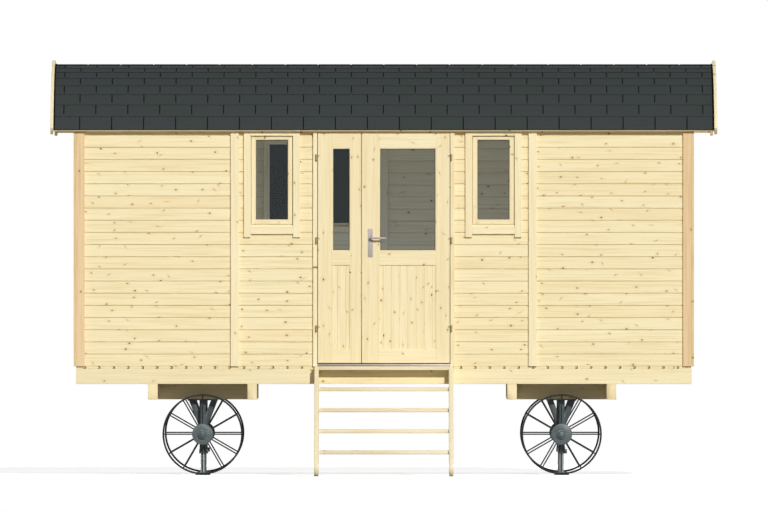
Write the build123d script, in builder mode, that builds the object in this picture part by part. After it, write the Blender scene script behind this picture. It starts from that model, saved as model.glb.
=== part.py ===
from build123d import *
import math
import os

os.makedirs("parts", exist_ok=True)

# A barrel-roofed wooden hut on steel wheels and telescopic legs, with steps at its front.
# Lengths are in millimetres, angles in degrees. X runs along the hut, -Y is its front.
# The origin is on the ground, in the middle of the outline with the steps.

# Clearances
seat_gap = 0.3
moving_gap = 5

# Chassis
floor_length = 4800
floor_width = 2250
cross_beam_bottom = 592
cross_beam_width = 75
cross_beam_height = 121
frame_beam_width = 60
frame_beam_height = 119
joist_width = 45
joist_count = 8
floor_board_thickness = 19
axle_left_x = -1414
axle_right_x = 1388
cross_beam_offset = 387.5
spacer_beam_width = 75

# Wheels
wheel_radius = 314
wheel_ground_gap = 6
wheel_outset = 107
rim_thickness = 14
rim_width = 60
spoke_count = 12
spoke_width = 10
spoke_depth = 30
hub_disc_radius = 82.5
hub_disc_thickness = 12
hub_disc_chamfer = 2
hub_radius = 34
hub_length = 84
hub_cap_radius = 25
hub_cap_length = 14
axle_radius = 15
axle_collar_radius = 24
axle_tip_gap = 8

# Telescopic legs
leg_inset = 268
leg_tube_radius = 26
leg_tube_wall = 4.5
leg_plate_length = 240
leg_plate_thickness = 8
leg_tube_bottom = 169
leg_collar_radius = 29
leg_collar_height = 34
clamp_tab_length = 14
clamp_tab_width = 12
clamp_screw_radius = 4.5
clamp_screw_length = 20
brace_width = 42
brace_depth = 30
brace_top_x = 86
brace_drop = 224
foot_tube_radius = 17
foot_tube_wall = 3.2
foot_travel = 120
foot_travel_spare = 24
foot_plate_width = 118
foot_plate_thickness = 10
foot_plate_corner = 8

# Walls
wall_thickness = 28
wall_height = 1878
trim_width = 66
trim_thickness = 19
plate_width = 45
plate_over_frame = 9

# Barrel roof
roof_inner_radius = 1605
roof_board_thickness = 18
shingle_thickness = 7
eave_overhang = 47
gable_overhang = 200
barge_drop = 17
barge_tail = 14
barge_width = 75
barge_thickness = 23
rib_width = 45
rib_height = 95

# Door set
door_frame_width = 1104
door_jamb_width = 33
door_frame_depth = 75
door_frame_proud = 22
door_stop_width = 17
door_leaf_thickness = 42
leaf_over_floor = 26
leaf_under_eave = 14
leaf_gap_x = -174
leaf_gap = 6
leaf_edge_bevel = 4
threshold_height = 19
threshold_lip = 12
narrow_hinge_stile = 119
narrow_lock_stile = 91
main_lock_stile = 143
main_hinge_stile = 113
door_top_rail = 121
door_glass_height = 789
door_middle_rail = 118
door_bottom_rail = 107
door_panel_thickness = 20
door_panel_recess = 8
glass_groove = 8
glass_thickness = 6
bead_width = 12

# Door furniture
hinge_outset = 12
hinge_radius = 8
hinge_height = 51
hinge_chamfer = 2
hinge_pin_radius = 4
hinge_stand_off = 9.5
hinge_stud_radius = 3.5
top_hinge_drop = 187
middle_hinge_rise = 956
bottom_hinge_rise = 269
handle_inset = 67
handle_height = 999
handle_plate_width = 38
handle_plate_height = 221
handle_plate_thickness = 6
handle_plate_corner = 5
handle_plate_low = 146
lever_radius = 7.5
lever_length = 122
lever_reach = 44
lever_bend = 16
lever_end_chamfer = 2

# Windows
window_bay = 610
left_window_clear = 36.5
right_window_clear = 54.5
window_under_eave = 65.5
window_glass_width = 247
window_glass_height = 619
window_frame_width = 46
window_frame_depth = 58
sash_width = 36
sash_gap = 3
sash_gap_depth = 12
sill_height = 17
sill_proud = 12
casing_width = 54
casing_side_cover = 4
casing_head_cover = 12
casing_drop = 139
sill_board_drop = 60
rear_window_x = -578
rear_window_drop = 23
rear_pane_width = 286
rear_mullion_width = 75

# Steps
stringer_inset = 28
stringer_thickness = 35
tread_count = 5
tread_pitch = 162.4
tread_going = 200
tread_thickness = 30
tread_depth = 200
tread_rounding = 6
top_tread_nose = 108
second_tread_nose = 213
stringer_over_nose = 12
stringer_width = 225
stringer_toe_radius = 60

# Heights and places worked out from the sizes above
frame_bottom = cross_beam_bottom + cross_beam_height
frame_top = frame_bottom + frame_beam_height
floor_top = frame_top + floor_board_thickness
wall_face = floor_width / 2
wall_inside = wall_face - wall_thickness
leg_y = wall_face - leg_inset
leg_plate_bottom = cross_beam_bottom - leg_plate_thickness
wheel_y = leg_y + wheel_outset
hub_z = wheel_radius + wheel_ground_gap
foot_tube_top = leg_plate_bottom - foot_travel - foot_travel_spare
roof_length = floor_length + 2 * gable_overhang
roof_board_length = roof_length - 2 * barge_thickness
roof_centre_z = floor_top + wall_height - math.sqrt(roof_inner_radius**2 - wall_face**2)
roof_outer_radius = roof_inner_radius + roof_board_thickness
roof_half_angle = math.degrees(math.asin((wall_face + eave_overhang) / roof_inner_radius))
eave_low_z = roof_centre_z + roof_inner_radius * math.cos(math.radians(roof_half_angle))
barge_inner_radius = roof_inner_radius - barge_drop
barge_outer_radius = barge_inner_radius + barge_width
barge_half_angle = roof_half_angle + math.degrees(barge_tail / roof_inner_radius)
eave_reach = barge_outer_radius * math.sin(math.radians(barge_half_angle))
door_half = door_frame_width / 2
door_clear_half = door_half - door_jamb_width
leaf_reach = door_clear_half - moving_gap
leaf_face = wall_face + door_frame_proud
leaf_back = leaf_face - door_leaf_thickness
stop_face = leaf_back - moving_gap
door_frame_back = leaf_face - door_frame_depth
door_leaf_bottom = floor_top + leaf_over_floor
door_leaf_top = eave_low_z - leaf_under_eave
door_head_bottom = door_leaf_top + moving_gap
door_frame_top = door_head_bottom + door_jamb_width
door_glass_top = door_leaf_top - door_top_rail
door_glass_bottom = door_glass_top - door_glass_height
door_panel_top = door_glass_bottom - door_middle_rail
door_panel_bottom = door_leaf_bottom + door_bottom_rail
narrow_meeting_x = leaf_gap_x - leaf_gap / 2
main_meeting_x = leaf_gap_x + leaf_gap / 2
hinge_x = leaf_reach + hinge_outset
hinge_face = leaf_face + hinge_stand_off
hinge_levels = (
    door_leaf_bottom + bottom_hinge_rise,
    door_leaf_bottom + middle_hinge_rise,
    door_leaf_top - top_hinge_drop,
)
handle_x = main_meeting_x + handle_inset
handle_z = floor_top + handle_height
batten_x = door_half + window_bay
front_window_half = window_glass_width / 2 + window_frame_width
casing_half = front_window_half - casing_side_cover + casing_width
window_left_x = -(batten_x - trim_width / 2 - left_window_clear - casing_half)
window_right_x = batten_x - trim_width / 2 - right_window_clear - casing_half
window_glass_bottom = eave_low_z - window_under_eave - window_glass_height
rear_window_half = rear_pane_width + rear_mullion_width / 2 + window_frame_width
stringer_x = door_half - stringer_inset
step_slope = math.atan2(tread_pitch, tread_going)
top_tread_z = floor_top
second_tread_z = top_tread_z - tread_pitch
nose_line_z = second_tread_z + second_tread_nose * math.tan(step_slope)
stringer_top_line = nose_line_z + stringer_over_nose / math.cos(step_slope)
stringer_front_z = stringer_top_line - top_tread_nose * math.tan(step_slope)
stringer_low_line = stringer_top_line - stringer_width / math.cos(step_slope)
stringer_toe = stringer_top_line / math.tan(step_slope)
stringer_heel = stringer_low_line / math.tan(step_slope)
toe_reach = stringer_toe - stringer_toe_radius / math.tan(step_slope / 2) + stringer_toe_radius
hut_y = (wall_face + toe_reach - eave_reach) / 2
wheel_places = (
    ("front_left", axle_left_x, -1),
    ("front_right", axle_right_x, -1),
    ("rear_left", axle_left_x, 1),
    ("rear_right", axle_right_x, 1),
)


def level(height):
    """Level plane at a height over the ground, centred on the hut."""
    return Plane(origin=(0, hut_y, height))


def front_view(depth):
    """Upright plane at a depth in front of the hut's middle, facing forwards, x to the right."""
    return Plane(origin=(0, hut_y - depth, 0), x_dir=(1, 0, 0), z_dir=(0, -1, 0))


def cross_section(x):
    """Upright plane across the hut: its x runs to the rear, its y up, and it faces along X."""
    return Plane(origin=(x, hut_y, 0), x_dir=(0, 1, 0), z_dir=(1, 0, 0))


def keep(piece, name):
    """Label a finished piece and write its file."""
    piece.part.label = name
    export_step(piece.part, "parts/" + name + ".step")


def rectangle_between(left, low, right, high, mode=Mode.ADD):
    """Rectangle between two corners, for the sketch in hand."""
    with Locations(((left + right) / 2, (low + high) / 2)):
        Rectangle(right - left, high - low, mode=mode)


def trim_under_roof():
    """Cut the part in hand to the curve under the roof boards."""
    with BuildSketch(cross_section(-roof_length / 2)) as under_roof:
        with Locations((0, roof_centre_z)):
            Circle(roof_inner_radius - seat_gap)
    extrude(under_roof.sketch, amount=roof_length, mode=Mode.INTERSECT)


def arch_band(x, inner, outer, half_angle, width):
    """Part of a barrel about the roof's centre line, from x on, with ends cut towards the centre."""
    side = math.radians(half_angle)
    with BuildPart() as band:
        with BuildSketch(cross_section(x)):
            with BuildLine():
                ends = []
                for radius in (inner, outer):
                    left = (-radius * math.sin(side), roof_centre_z + radius * math.cos(side))
                    right = (radius * math.sin(side), roof_centre_z + radius * math.cos(side))
                    ThreePointArc(left, (0, roof_centre_z + radius), right)
                    ends.append((left, right))
                Line(ends[0][0], ends[1][0])
                Line(ends[0][1], ends[1][1])
            make_face()
        extrude(amount=width)
    return band


# Chassis of timber beams
with BuildPart() as cross_beams:
    with BuildSketch(level(cross_beam_bottom)):
        for axle_x in (axle_left_x, axle_right_x):
            with Locations((axle_x - cross_beam_offset, 0), (axle_x + cross_beam_offset, 0)):
                Rectangle(cross_beam_width, floor_width)
    extrude(amount=cross_beam_height)
keep(cross_beams, "cross_beams")

with BuildPart() as spacer_beams:
    with BuildSketch(level(cross_beam_bottom)):
        for axle_x in (axle_left_x, axle_right_x):
            with Locations((axle_x, -leg_y), (axle_x, leg_y)):
                Rectangle(2 * cross_beam_offset - cross_beam_width, spacer_beam_width)
    extrude(amount=cross_beam_height)
keep(spacer_beams, "spacer_beams")

with BuildPart() as floor_long_beams:
    with BuildSketch(level(frame_bottom)):
        beam_y = (floor_width - frame_beam_width) / 2
        with Locations((0, -beam_y), (0, beam_y)):
            Rectangle(floor_length, frame_beam_width)
    extrude(amount=frame_beam_height)
keep(floor_long_beams, "floor_long_beams")

inner_floor_width = floor_width - 2 * frame_beam_width
with BuildPart() as floor_end_beams:
    with BuildSketch(level(frame_bottom)):
        beam_x = (floor_length - frame_beam_width) / 2
        with Locations((-beam_x, 0), (beam_x, 0)):
            Rectangle(frame_beam_width, inner_floor_width)
    extrude(amount=frame_beam_height)
keep(floor_end_beams, "floor_end_beams")

with BuildPart() as floor_joists:
    with BuildSketch(level(frame_bottom)):
        joist_pitch = (floor_length - frame_beam_width) / (joist_count + 1)
        with GridLocations(joist_pitch, inner_floor_width, joist_count, 1):
            Rectangle(joist_width, inner_floor_width)
    extrude(amount=frame_beam_height)
keep(floor_joists, "floor_joists")

with BuildPart() as floor_boards:
    with BuildSketch(level(frame_top)):
        Rectangle(floor_length, floor_width)
    extrude(amount=floor_board_thickness)
keep(floor_boards, "floor_boards")


def wheel(x, side):
    """Spoked steel wheel at one end of an axle; side is -1 at the front and 1 at the rear."""
    middle = Plane(
        origin=(x, hut_y + side * wheel_y, hub_z), x_dir=(1, 0, 0), z_dir=(0, side, 0)
    )
    spoke_inner = hub_disc_radius - hub_disc_thickness
    spoke_outer = wheel_radius - rim_thickness / 2
    with BuildPart() as spoked:
        with BuildSketch(middle):
            Circle(wheel_radius)
            Circle(wheel_radius - rim_thickness, mode=Mode.SUBTRACT)
        extrude(amount=rim_width / 2, both=True)
        with BuildSketch(middle):
            with PolarLocations((spoke_inner + spoke_outer) / 2, spoke_count):
                Rectangle(spoke_outer - spoke_inner, spoke_width)
        extrude(amount=spoke_depth / 2, both=True)
        with BuildSketch(middle.offset(spoke_depth / 2 - hub_disc_thickness / 2)):
            Circle(hub_disc_radius)
        extrude(amount=hub_disc_thickness)
        with BuildSketch(middle.offset(-spoke_depth / 2 - hub_disc_thickness / 2)):
            Circle(hub_disc_radius)
        extrude(amount=hub_disc_thickness)
        disc_rims = spoked.edges().filter_by(
            lambda edge: edge.geom_type == GeomType.CIRCLE and edge.radius == hub_disc_radius
        )
        outermost = disc_rims.sort_by(Axis.Y)
        chamfer([outermost[0], outermost[-1]], length=hub_disc_chamfer)
        with BuildSketch(middle):
            Circle(hub_radius)
        extrude(amount=hub_length / 2, both=True)
        with BuildSketch(middle.offset(hub_length / 2)):
            Circle(hub_cap_radius)
        extrude(amount=hub_cap_length, taper=20)
        with BuildSketch(middle.offset(-hub_length / 2)):
            Circle(axle_radius + seat_gap)
        extrude(amount=hub_length - axle_tip_gap, mode=Mode.SUBTRACT)
    return spoked


def leg(x, side):
    """Braced outer leg tube under a spacer beam, with the wheel's stub axle and the foot's clamp."""
    leg_centre = Plane(origin=(x, hut_y + side * leg_y, 0))
    leg_front = Plane(origin=(x, hut_y + side * leg_y, 0), x_dir=(1, 0, 0), z_dir=(0, -1, 0))
    hub_back = wheel_y - hub_length / 2 - leg_y
    brace_foot_z = leg_plate_bottom - brace_drop
    brace_half = brace_width / 2 / math.cos(math.atan2(brace_top_x, brace_drop))
    tab_x = leg_collar_radius + clamp_tab_length / 2
    tab_z = leg_tube_bottom + leg_collar_height / 2
    with BuildPart() as braced:
        with BuildSketch(leg_centre.offset(leg_plate_bottom)):
            Rectangle(leg_plate_length, spacer_beam_width)
        extrude(amount=leg_plate_thickness)
        with BuildSketch(leg_centre.offset(leg_tube_bottom)):
            Circle(leg_tube_radius)
        extrude(amount=leg_plate_bottom - leg_tube_bottom)
        with BuildSketch(leg_front):
            for hand in (-1, 1):
                Polygon(
                    (hand * (brace_top_x - brace_half), leg_plate_bottom),
                    (hand * (brace_top_x + brace_half), leg_plate_bottom),
                    (hand * brace_half, brace_foot_z),
                    (-hand * brace_half, brace_foot_z),
                    align=None,
                )
        extrude(amount=brace_depth / 2, both=True)
        with BuildSketch(leg_centre.offset(leg_tube_bottom)):
            Circle(leg_collar_radius)
            with Locations((tab_x - clamp_tab_length / 2, 0)):
                Rectangle(2 * clamp_tab_length, clamp_tab_width)
        extrude(amount=leg_collar_height)
        with BuildSketch(leg_front):
            with Locations((tab_x, tab_z)):
                Circle(clamp_screw_radius)
        extrude(amount=clamp_screw_length / 2, both=True)
        with BuildSketch(leg_front):
            with Locations((0, hub_z)):
                Circle(axle_radius)
        extrude(amount=-side * (hub_back + hub_length - axle_tip_gap - seat_gap))
        with BuildSketch(leg_front):
            with Locations((0, hub_z)):
                Circle(axle_collar_radius)
        extrude(amount=-side * (hub_back - seat_gap))
        with BuildSketch(leg_centre.offset(leg_tube_bottom + leg_collar_height)):
            Circle(leg_tube_radius - leg_tube_wall)
        extrude(amount=leg_plate_bottom - leg_tube_bottom - leg_collar_height, mode=Mode.SUBTRACT)
        with BuildSketch(leg_centre.offset(leg_tube_bottom)):
            Circle(foot_tube_radius + seat_gap)
        extrude(amount=leg_collar_height, mode=Mode.SUBTRACT)
    return braced


def foot(x, side):
    """Inner tube of a leg with its foot plate."""
    foot_centre = Plane(origin=(x, hut_y + side * leg_y, 0))
    with BuildPart() as inner:
        with BuildSketch(foot_centre):
            RectangleRounded(foot_plate_width, foot_plate_width, foot_plate_corner)
        extrude(amount=foot_plate_thickness)
        with BuildSketch(foot_centre.offset(foot_plate_thickness)):
            Circle(foot_tube_radius)
            Circle(foot_tube_radius - foot_tube_wall, mode=Mode.SUBTRACT)
        extrude(amount=foot_tube_top - foot_plate_thickness)
    return inner


for place, axle_x, side in wheel_places:
    keep(wheel(axle_x, side), "wheel_" + place)
    keep(leg(axle_x, side), "leg_" + place)
    keep(foot(axle_x, side), "foot_" + place)


# Walls, cut to the curve under the roof
wall_top = roof_centre_z + roof_inner_radius
window_frame_low = window_glass_bottom - window_frame_width
window_frame_high = window_glass_bottom + window_glass_height + window_frame_width


def front_wall_stretch(left, right, low):
    """Stretch of the front wall between two places along the hut, from a height up to the roof."""
    with BuildPart() as stretch:
        with BuildSketch(front_view(wall_face)):
            rectangle_between(left, low, right, wall_top)
        extrude(amount=-wall_thickness)
        trim_under_roof()
    return stretch


def front_wall_with_window(left, right, window_x):
    """Stretch of the front wall from the floor up, with a window's opening."""
    with BuildPart() as stretch:
        add(front_wall_stretch(left, right, floor_top).part)
        with BuildSketch(front_view(wall_face)):
            rectangle_between(
                window_x - front_window_half,
                window_frame_low,
                window_x + front_window_half,
                window_frame_high,
            )
        extrude(amount=-wall_thickness, mode=Mode.SUBTRACT)
    return stretch


keep(front_wall_with_window(-floor_length / 2, -door_half, window_left_x), "front_wall_left")
keep(front_wall_with_window(door_half, floor_length / 2, window_right_x), "front_wall_right")
keep(front_wall_stretch(-door_half, door_half, door_frame_top), "front_wall_over_door")

with BuildPart() as rear_wall:
    with BuildSketch(front_view(-wall_inside)):
        rectangle_between(-floor_length / 2, floor_top, floor_length / 2, wall_top)
        rectangle_between(
            rear_window_x - rear_window_half,
            window_frame_low - rear_window_drop,
            rear_window_x + rear_window_half,
            window_frame_high - rear_window_drop,
            mode=Mode.SUBTRACT,
        )
    extrude(amount=-wall_thickness)
    trim_under_roof()
keep(rear_wall, "rear_wall")


def gable_wall(x):
    """End wall between the long walls, from x on, with its top under the barrel roof."""
    with BuildPart() as gable:
        with BuildSketch(cross_section(x)):
            rectangle_between(-wall_inside, floor_top, wall_inside, wall_top)
        extrude(amount=wall_thickness)
        trim_under_roof()
    return gable


keep(gable_wall(-floor_length / 2), "gable_wall_left")
keep(gable_wall(floor_length / 2 - wall_thickness), "gable_wall_right")

# Corner boards and battens on the walls
with BuildPart() as corner_boards:
    with BuildSketch(level(floor_top)):
        for across in (-1, 1):
            for along in (-1, 1):
                face_board_x = along * (floor_length / 2 - trim_width / 2)
                face_board_y = across * (wall_face + trim_thickness / 2)
                end_board_x = along * (floor_length / 2 + trim_thickness / 2)
                end_board_y = across * (wall_face + trim_thickness - trim_width / 2)
                with Locations((face_board_x, face_board_y)):
                    Rectangle(trim_width, trim_thickness)
                with Locations((end_board_x, end_board_y)):
                    Rectangle(trim_thickness, trim_width)
    extrude(amount=wall_top - floor_top)
    trim_under_roof()
keep(corner_boards, "corner_boards")

front_batten_places = (-batten_x, batten_x)
rear_batten_places = (-batten_x, 0, batten_x)
with BuildPart() as outside_battens:
    batten_y = wall_face + trim_thickness / 2
    with BuildSketch(level(floor_top)):
        with Locations(*[(x, -batten_y) for x in front_batten_places]):
            Rectangle(trim_width, trim_thickness)
        with Locations(*[(x, batten_y) for x in rear_batten_places]):
            Rectangle(trim_width, trim_thickness)
    extrude(amount=wall_top - floor_top)
    trim_under_roof()
keep(outside_battens, "outside_battens")

wall_plate_bottom = door_frame_top + plate_over_frame
with BuildPart() as inside_battens:
    batten_y = wall_inside - trim_thickness / 2
    with BuildSketch(level(floor_top)):
        with Locations(*[(x, -batten_y) for x in front_batten_places]):
            Rectangle(trim_width, trim_thickness)
        with Locations(*[(x, batten_y) for x in rear_batten_places]):
            Rectangle(trim_width, trim_thickness)
    extrude(amount=wall_plate_bottom - floor_top)
keep(inside_battens, "inside_battens")

with BuildPart() as wall_plates:
    with BuildSketch(level(wall_plate_bottom)):
        plate_y = wall_inside - plate_width / 2
        with Locations((0, -plate_y), (0, plate_y)):
            Rectangle(floor_length - 2 * wall_thickness, plate_width)
    extrude(amount=wall_top - wall_plate_bottom)
    trim_under_roof()
keep(wall_plates, "wall_plates")

# Barrel roof
with BuildPart() as roof_ribs:
    for x in rear_batten_places:
        rib_outer = roof_inner_radius - seat_gap
        add(
            arch_band(
                x - rib_width / 2, rib_outer - rib_height, rib_outer, roof_half_angle, rib_width
            ).part
        )
    with BuildSketch(level(floor_top)):
        Rectangle(floor_length, 2 * (wall_inside - plate_width))
    extrude(amount=wall_top - floor_top, mode=Mode.INTERSECT)
keep(roof_ribs, "roof_ribs")

keep(
    arch_band(
        -roof_board_length / 2,
        roof_inner_radius,
        roof_outer_radius,
        roof_half_angle,
        roof_board_length,
    ),
    "roof_boards",
)
keep(
    arch_band(
        -roof_board_length / 2,
        roof_outer_radius + seat_gap,
        roof_outer_radius + seat_gap + shingle_thickness,
        roof_half_angle,
        roof_board_length,
    ),
    "roof_shingles",
)
with BuildPart() as barge_boards:
    for x in (-roof_length / 2, roof_length / 2 - barge_thickness):
        add(
            arch_band(
                x, barge_inner_radius, barge_outer_radius, barge_half_angle, barge_thickness
            ).part
        )
keep(barge_boards, "barge_boards")

# Door frame and threshold
stop_half = door_clear_half - door_stop_width
stop_head = door_head_bottom - door_stop_width
with BuildPart() as door_frame:
    with BuildSketch(front_view(leaf_face)):
        rectangle_between(-door_half, floor_top, door_half, door_frame_top)
        rectangle_between(
            -door_clear_half, floor_top, door_clear_half, door_head_bottom, mode=Mode.SUBTRACT
        )
    extrude(amount=stop_face - leaf_face)
    with BuildSketch(front_view(stop_face)):
        rectangle_between(-door_half, floor_top, door_half, door_frame_top)
        rectangle_between(-stop_half, floor_top, stop_half, stop_head, mode=Mode.SUBTRACT)
    extrude(amount=door_frame_back - stop_face)
keep(door_frame, "door_frame")

with BuildPart() as door_threshold:
    with BuildSketch(front_view(leaf_face)):
        rectangle_between(
            -door_clear_half, floor_top, door_clear_half, floor_top + threshold_height
        )
    extrude(amount=stop_face - leaf_face)
    with BuildSketch(front_view(stop_face)):
        rectangle_between(
            -stop_half, floor_top, stop_half, floor_top + threshold_height + threshold_lip
        )
    extrude(amount=door_frame_back - stop_face)
keep(door_threshold, "door_threshold")

# Door leaves, each with a pane in a groove and a panel of boards below it
pane_middle = (leaf_face + leaf_back) / 2


def pane(left, right, low, high, middle):
    """Glass pane that fills its groove, about an upright plane at a depth."""
    with BuildPart() as glass:
        with BuildSketch(front_view(middle)):
            rectangle_between(
                left - glass_groove, low - glass_groove, right + glass_groove, high + glass_groove
            )
        extrude(amount=glass_thickness / 2, both=True)
    return glass


def splay(face, inward, left, low, right, high, depth):
    """Widen a glazing opening evenly from its pane out to a face; inward is -1 from the front."""
    with BuildSketch(front_view(face)) as mouth:
        rectangle_between(
            left - bead_width, low - bead_width, right + bead_width, high + bead_width
        )
    slant = math.degrees(math.atan2(bead_width, depth))
    extrude(mouth.sketch, amount=inward * depth, taper=slant, mode=Mode.SUBTRACT)


def door_leaf(left, right, back_left, back_right, glass_left, glass_right):
    """Framed leaf with a glazed opening and a panel; its back edges may lie further in."""
    with BuildPart() as leaf:
        with BuildSketch(level(door_leaf_bottom)):
            Polygon(
                (left, -leaf_face),
                (right, -leaf_face),
                (back_right, -leaf_back),
                (back_left, -leaf_back),
                align=None,
            )
        extrude(amount=door_leaf_top - door_leaf_bottom)
        with BuildSketch(front_view(leaf_face)):
            rectangle_between(glass_left, door_glass_bottom, glass_right, door_glass_top)
        extrude(amount=-door_leaf_thickness, mode=Mode.SUBTRACT)
        for face, inward in ((leaf_face, -1), (leaf_back, 1)):
            splay(
                face,
                inward,
                glass_left,
                door_glass_bottom,
                glass_right,
                door_glass_top,
                (door_leaf_thickness - glass_thickness) / 2,
            )
        with BuildSketch(front_view(leaf_face)):
            rectangle_between(glass_left, door_panel_bottom, glass_right, door_panel_top)
        extrude(amount=-door_panel_recess, mode=Mode.SUBTRACT)
        with BuildSketch(front_view(leaf_back)):
            rectangle_between(glass_left, door_panel_bottom, glass_right, door_panel_top)
        back_recess = door_leaf_thickness - door_panel_recess - door_panel_thickness
        extrude(amount=back_recess, mode=Mode.SUBTRACT)
        add(
            pane(glass_left, glass_right, door_glass_bottom, door_glass_top, pane_middle).part,
            mode=Mode.SUBTRACT,
        )
    return leaf


narrow_glass_left = -leaf_reach + narrow_hinge_stile
narrow_glass_right = narrow_meeting_x - narrow_lock_stile
main_glass_left = main_meeting_x + main_lock_stile
main_glass_right = leaf_reach - main_hinge_stile
keep(
    door_leaf(
        -leaf_reach,
        narrow_meeting_x,
        -leaf_reach,
        narrow_meeting_x - leaf_edge_bevel,
        narrow_glass_left,
        narrow_glass_right,
    ),
    "narrow_door_leaf",
)
keep(
    pane(narrow_glass_left, narrow_glass_right, door_glass_bottom, door_glass_top, pane_middle),
    "narrow_door_glass",
)

lever_hole_radius = lever_radius + seat_gap
with BuildPart() as main_door_leaf:
    add(
        door_leaf(
            main_meeting_x,
            leaf_reach,
            main_meeting_x + leaf_edge_bevel,
            leaf_reach,
            main_glass_left,
            main_glass_right,
        ).part
    )
    with BuildSketch(front_view(leaf_face)):
        with Locations((handle_x, handle_z)):
            Circle(lever_hole_radius)
    extrude(amount=-door_leaf_thickness, mode=Mode.SUBTRACT)
keep(main_door_leaf, "main_door_leaf")
keep(
    pane(main_glass_left, main_glass_right, door_glass_bottom, door_glass_top, pane_middle),
    "main_door_glass",
)

# Lever handle with its plates
with BuildPart() as handle_plates:
    plate_low = handle_z - handle_plate_low
    for face, outward in ((leaf_face, 1), (leaf_back, -1)):
        with BuildSketch(front_view(face)):
            with Locations((handle_x, plate_low + handle_plate_height / 2)):
                RectangleRounded(handle_plate_width, handle_plate_height, handle_plate_corner)
            with Locations((handle_x, handle_z)):
                Circle(lever_hole_radius, mode=Mode.SUBTRACT)
        extrude(amount=outward * handle_plate_thickness)
keep(handle_plates, "handle_plates")

with BuildPart() as door_lever:
    outer_reach = -leaf_face - lever_reach
    inner_reach = -leaf_back + lever_reach
    with BuildLine(level(handle_z)) as grip:
        FilletPolyline(
            (handle_x + lever_length, outer_reach),
            (handle_x, outer_reach),
            (handle_x, inner_reach),
            (handle_x + lever_length, inner_reach),
            radius=lever_bend,
        )
    with BuildSketch(Plane(origin=grip.line @ 0, z_dir=grip.line % 0)) as grip_section:
        Circle(lever_radius)
    sweep(grip_section.sketch, path=grip.line)
    grip_ends = door_lever.faces().filter_by(GeomType.PLANE)
    chamfer(grip_ends.edges(), length=lever_end_chamfer)
keep(door_lever, "door_lever")

# Hinges of two barrels on a pin, the lower on the frame and the upper on the leaf
hinge_half = (hinge_height - seat_gap) / 2


def lower_hinge_half(x, height):
    """Barrel with its pin, on a stud in the frame."""
    barrel_low = height - hinge_height / 2
    with BuildPart() as lower:
        with BuildSketch(level(barrel_low)):
            with Locations((x, -hinge_face)):
                Circle(hinge_radius)
        extrude(amount=hinge_half)
        chamfer(lower.edges().sort_by(Axis.Z)[0], length=hinge_chamfer)
        with BuildSketch(level(barrel_low + hinge_half)):
            with Locations((x, -hinge_face)):
                Circle(hinge_pin_radius)
        extrude(amount=hinge_half - hinge_radius)
        with BuildSketch(front_view(leaf_face)):
            with Locations((x, barrel_low + hinge_half / 2)):
                Circle(hinge_stud_radius)
        extrude(amount=hinge_stand_off)
    return lower


def upper_hinge_half(x, height):
    """Barrel over the pin, on a slanting stud that meets the leaf's face."""
    barrel_top = height + hinge_height / 2
    hand = math.copysign(1, x)
    stud_run = x - hand * (leaf_reach - hinge_radius)
    stud_plane = Plane(
        origin=(x, hut_y - hinge_face, barrel_top - hinge_half / 2),
        z_dir=(-stud_run, hinge_stand_off, 0),
    )
    with BuildPart() as upper:
        with BuildSketch(stud_plane):
            Circle(hinge_stud_radius)
        extrude(amount=2 * math.hypot(stud_run, hinge_stand_off))
        split(bisect_by=front_view(leaf_face), keep=Keep.TOP)
        with BuildSketch(level(barrel_top - hinge_half)):
            with Locations((x, -hinge_face)):
                Circle(hinge_radius)
        extrude(amount=hinge_half)
        chamfer(upper.edges().sort_by(Axis.Z)[-1], length=hinge_chamfer)
        with BuildSketch(level(barrel_top - hinge_half)):
            with Locations((x, -hinge_face)):
                Circle(hinge_pin_radius + seat_gap / 3)
        extrude(amount=hinge_half - hinge_radius + seat_gap, mode=Mode.SUBTRACT)
    return upper


with BuildPart() as frame_hinges:
    for height in hinge_levels:
        for x in (-hinge_x, hinge_x):
            add(lower_hinge_half(x, height).part)
keep(frame_hinges, "frame_hinges")

with BuildPart() as narrow_door_hinges:
    for height in hinge_levels:
        add(upper_hinge_half(-hinge_x, height).part)
keep(narrow_door_hinges, "narrow_door_hinges")

with BuildPart() as main_door_hinges:
    for height in hinge_levels:
        add(upper_hinge_half(hinge_x, height).part)
keep(main_door_hinges, "main_door_hinges")

# Windows: frames in the walls, panes in their grooves and casing boards outside
window_pane_middle = wall_face - window_frame_depth / 2
rear_pane_shift = (rear_pane_width + rear_mullion_width) / 2
window_panes_at = (
    (window_left_x, -1, window_glass_width, 0),
    (window_right_x, -1, window_glass_width, 0),
    (rear_window_x - rear_pane_shift, 1, rear_pane_width, rear_window_drop),
    (rear_window_x + rear_pane_shift, 1, rear_pane_width, rear_window_drop),
)

with BuildPart() as window_panes:
    for x, side, width, drop in window_panes_at:
        low = window_glass_bottom - drop
        high = low + window_glass_height
        add(pane(x - width / 2, x + width / 2, low, high, -side * window_pane_middle).part)
keep(window_panes, "window_panes")

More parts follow.
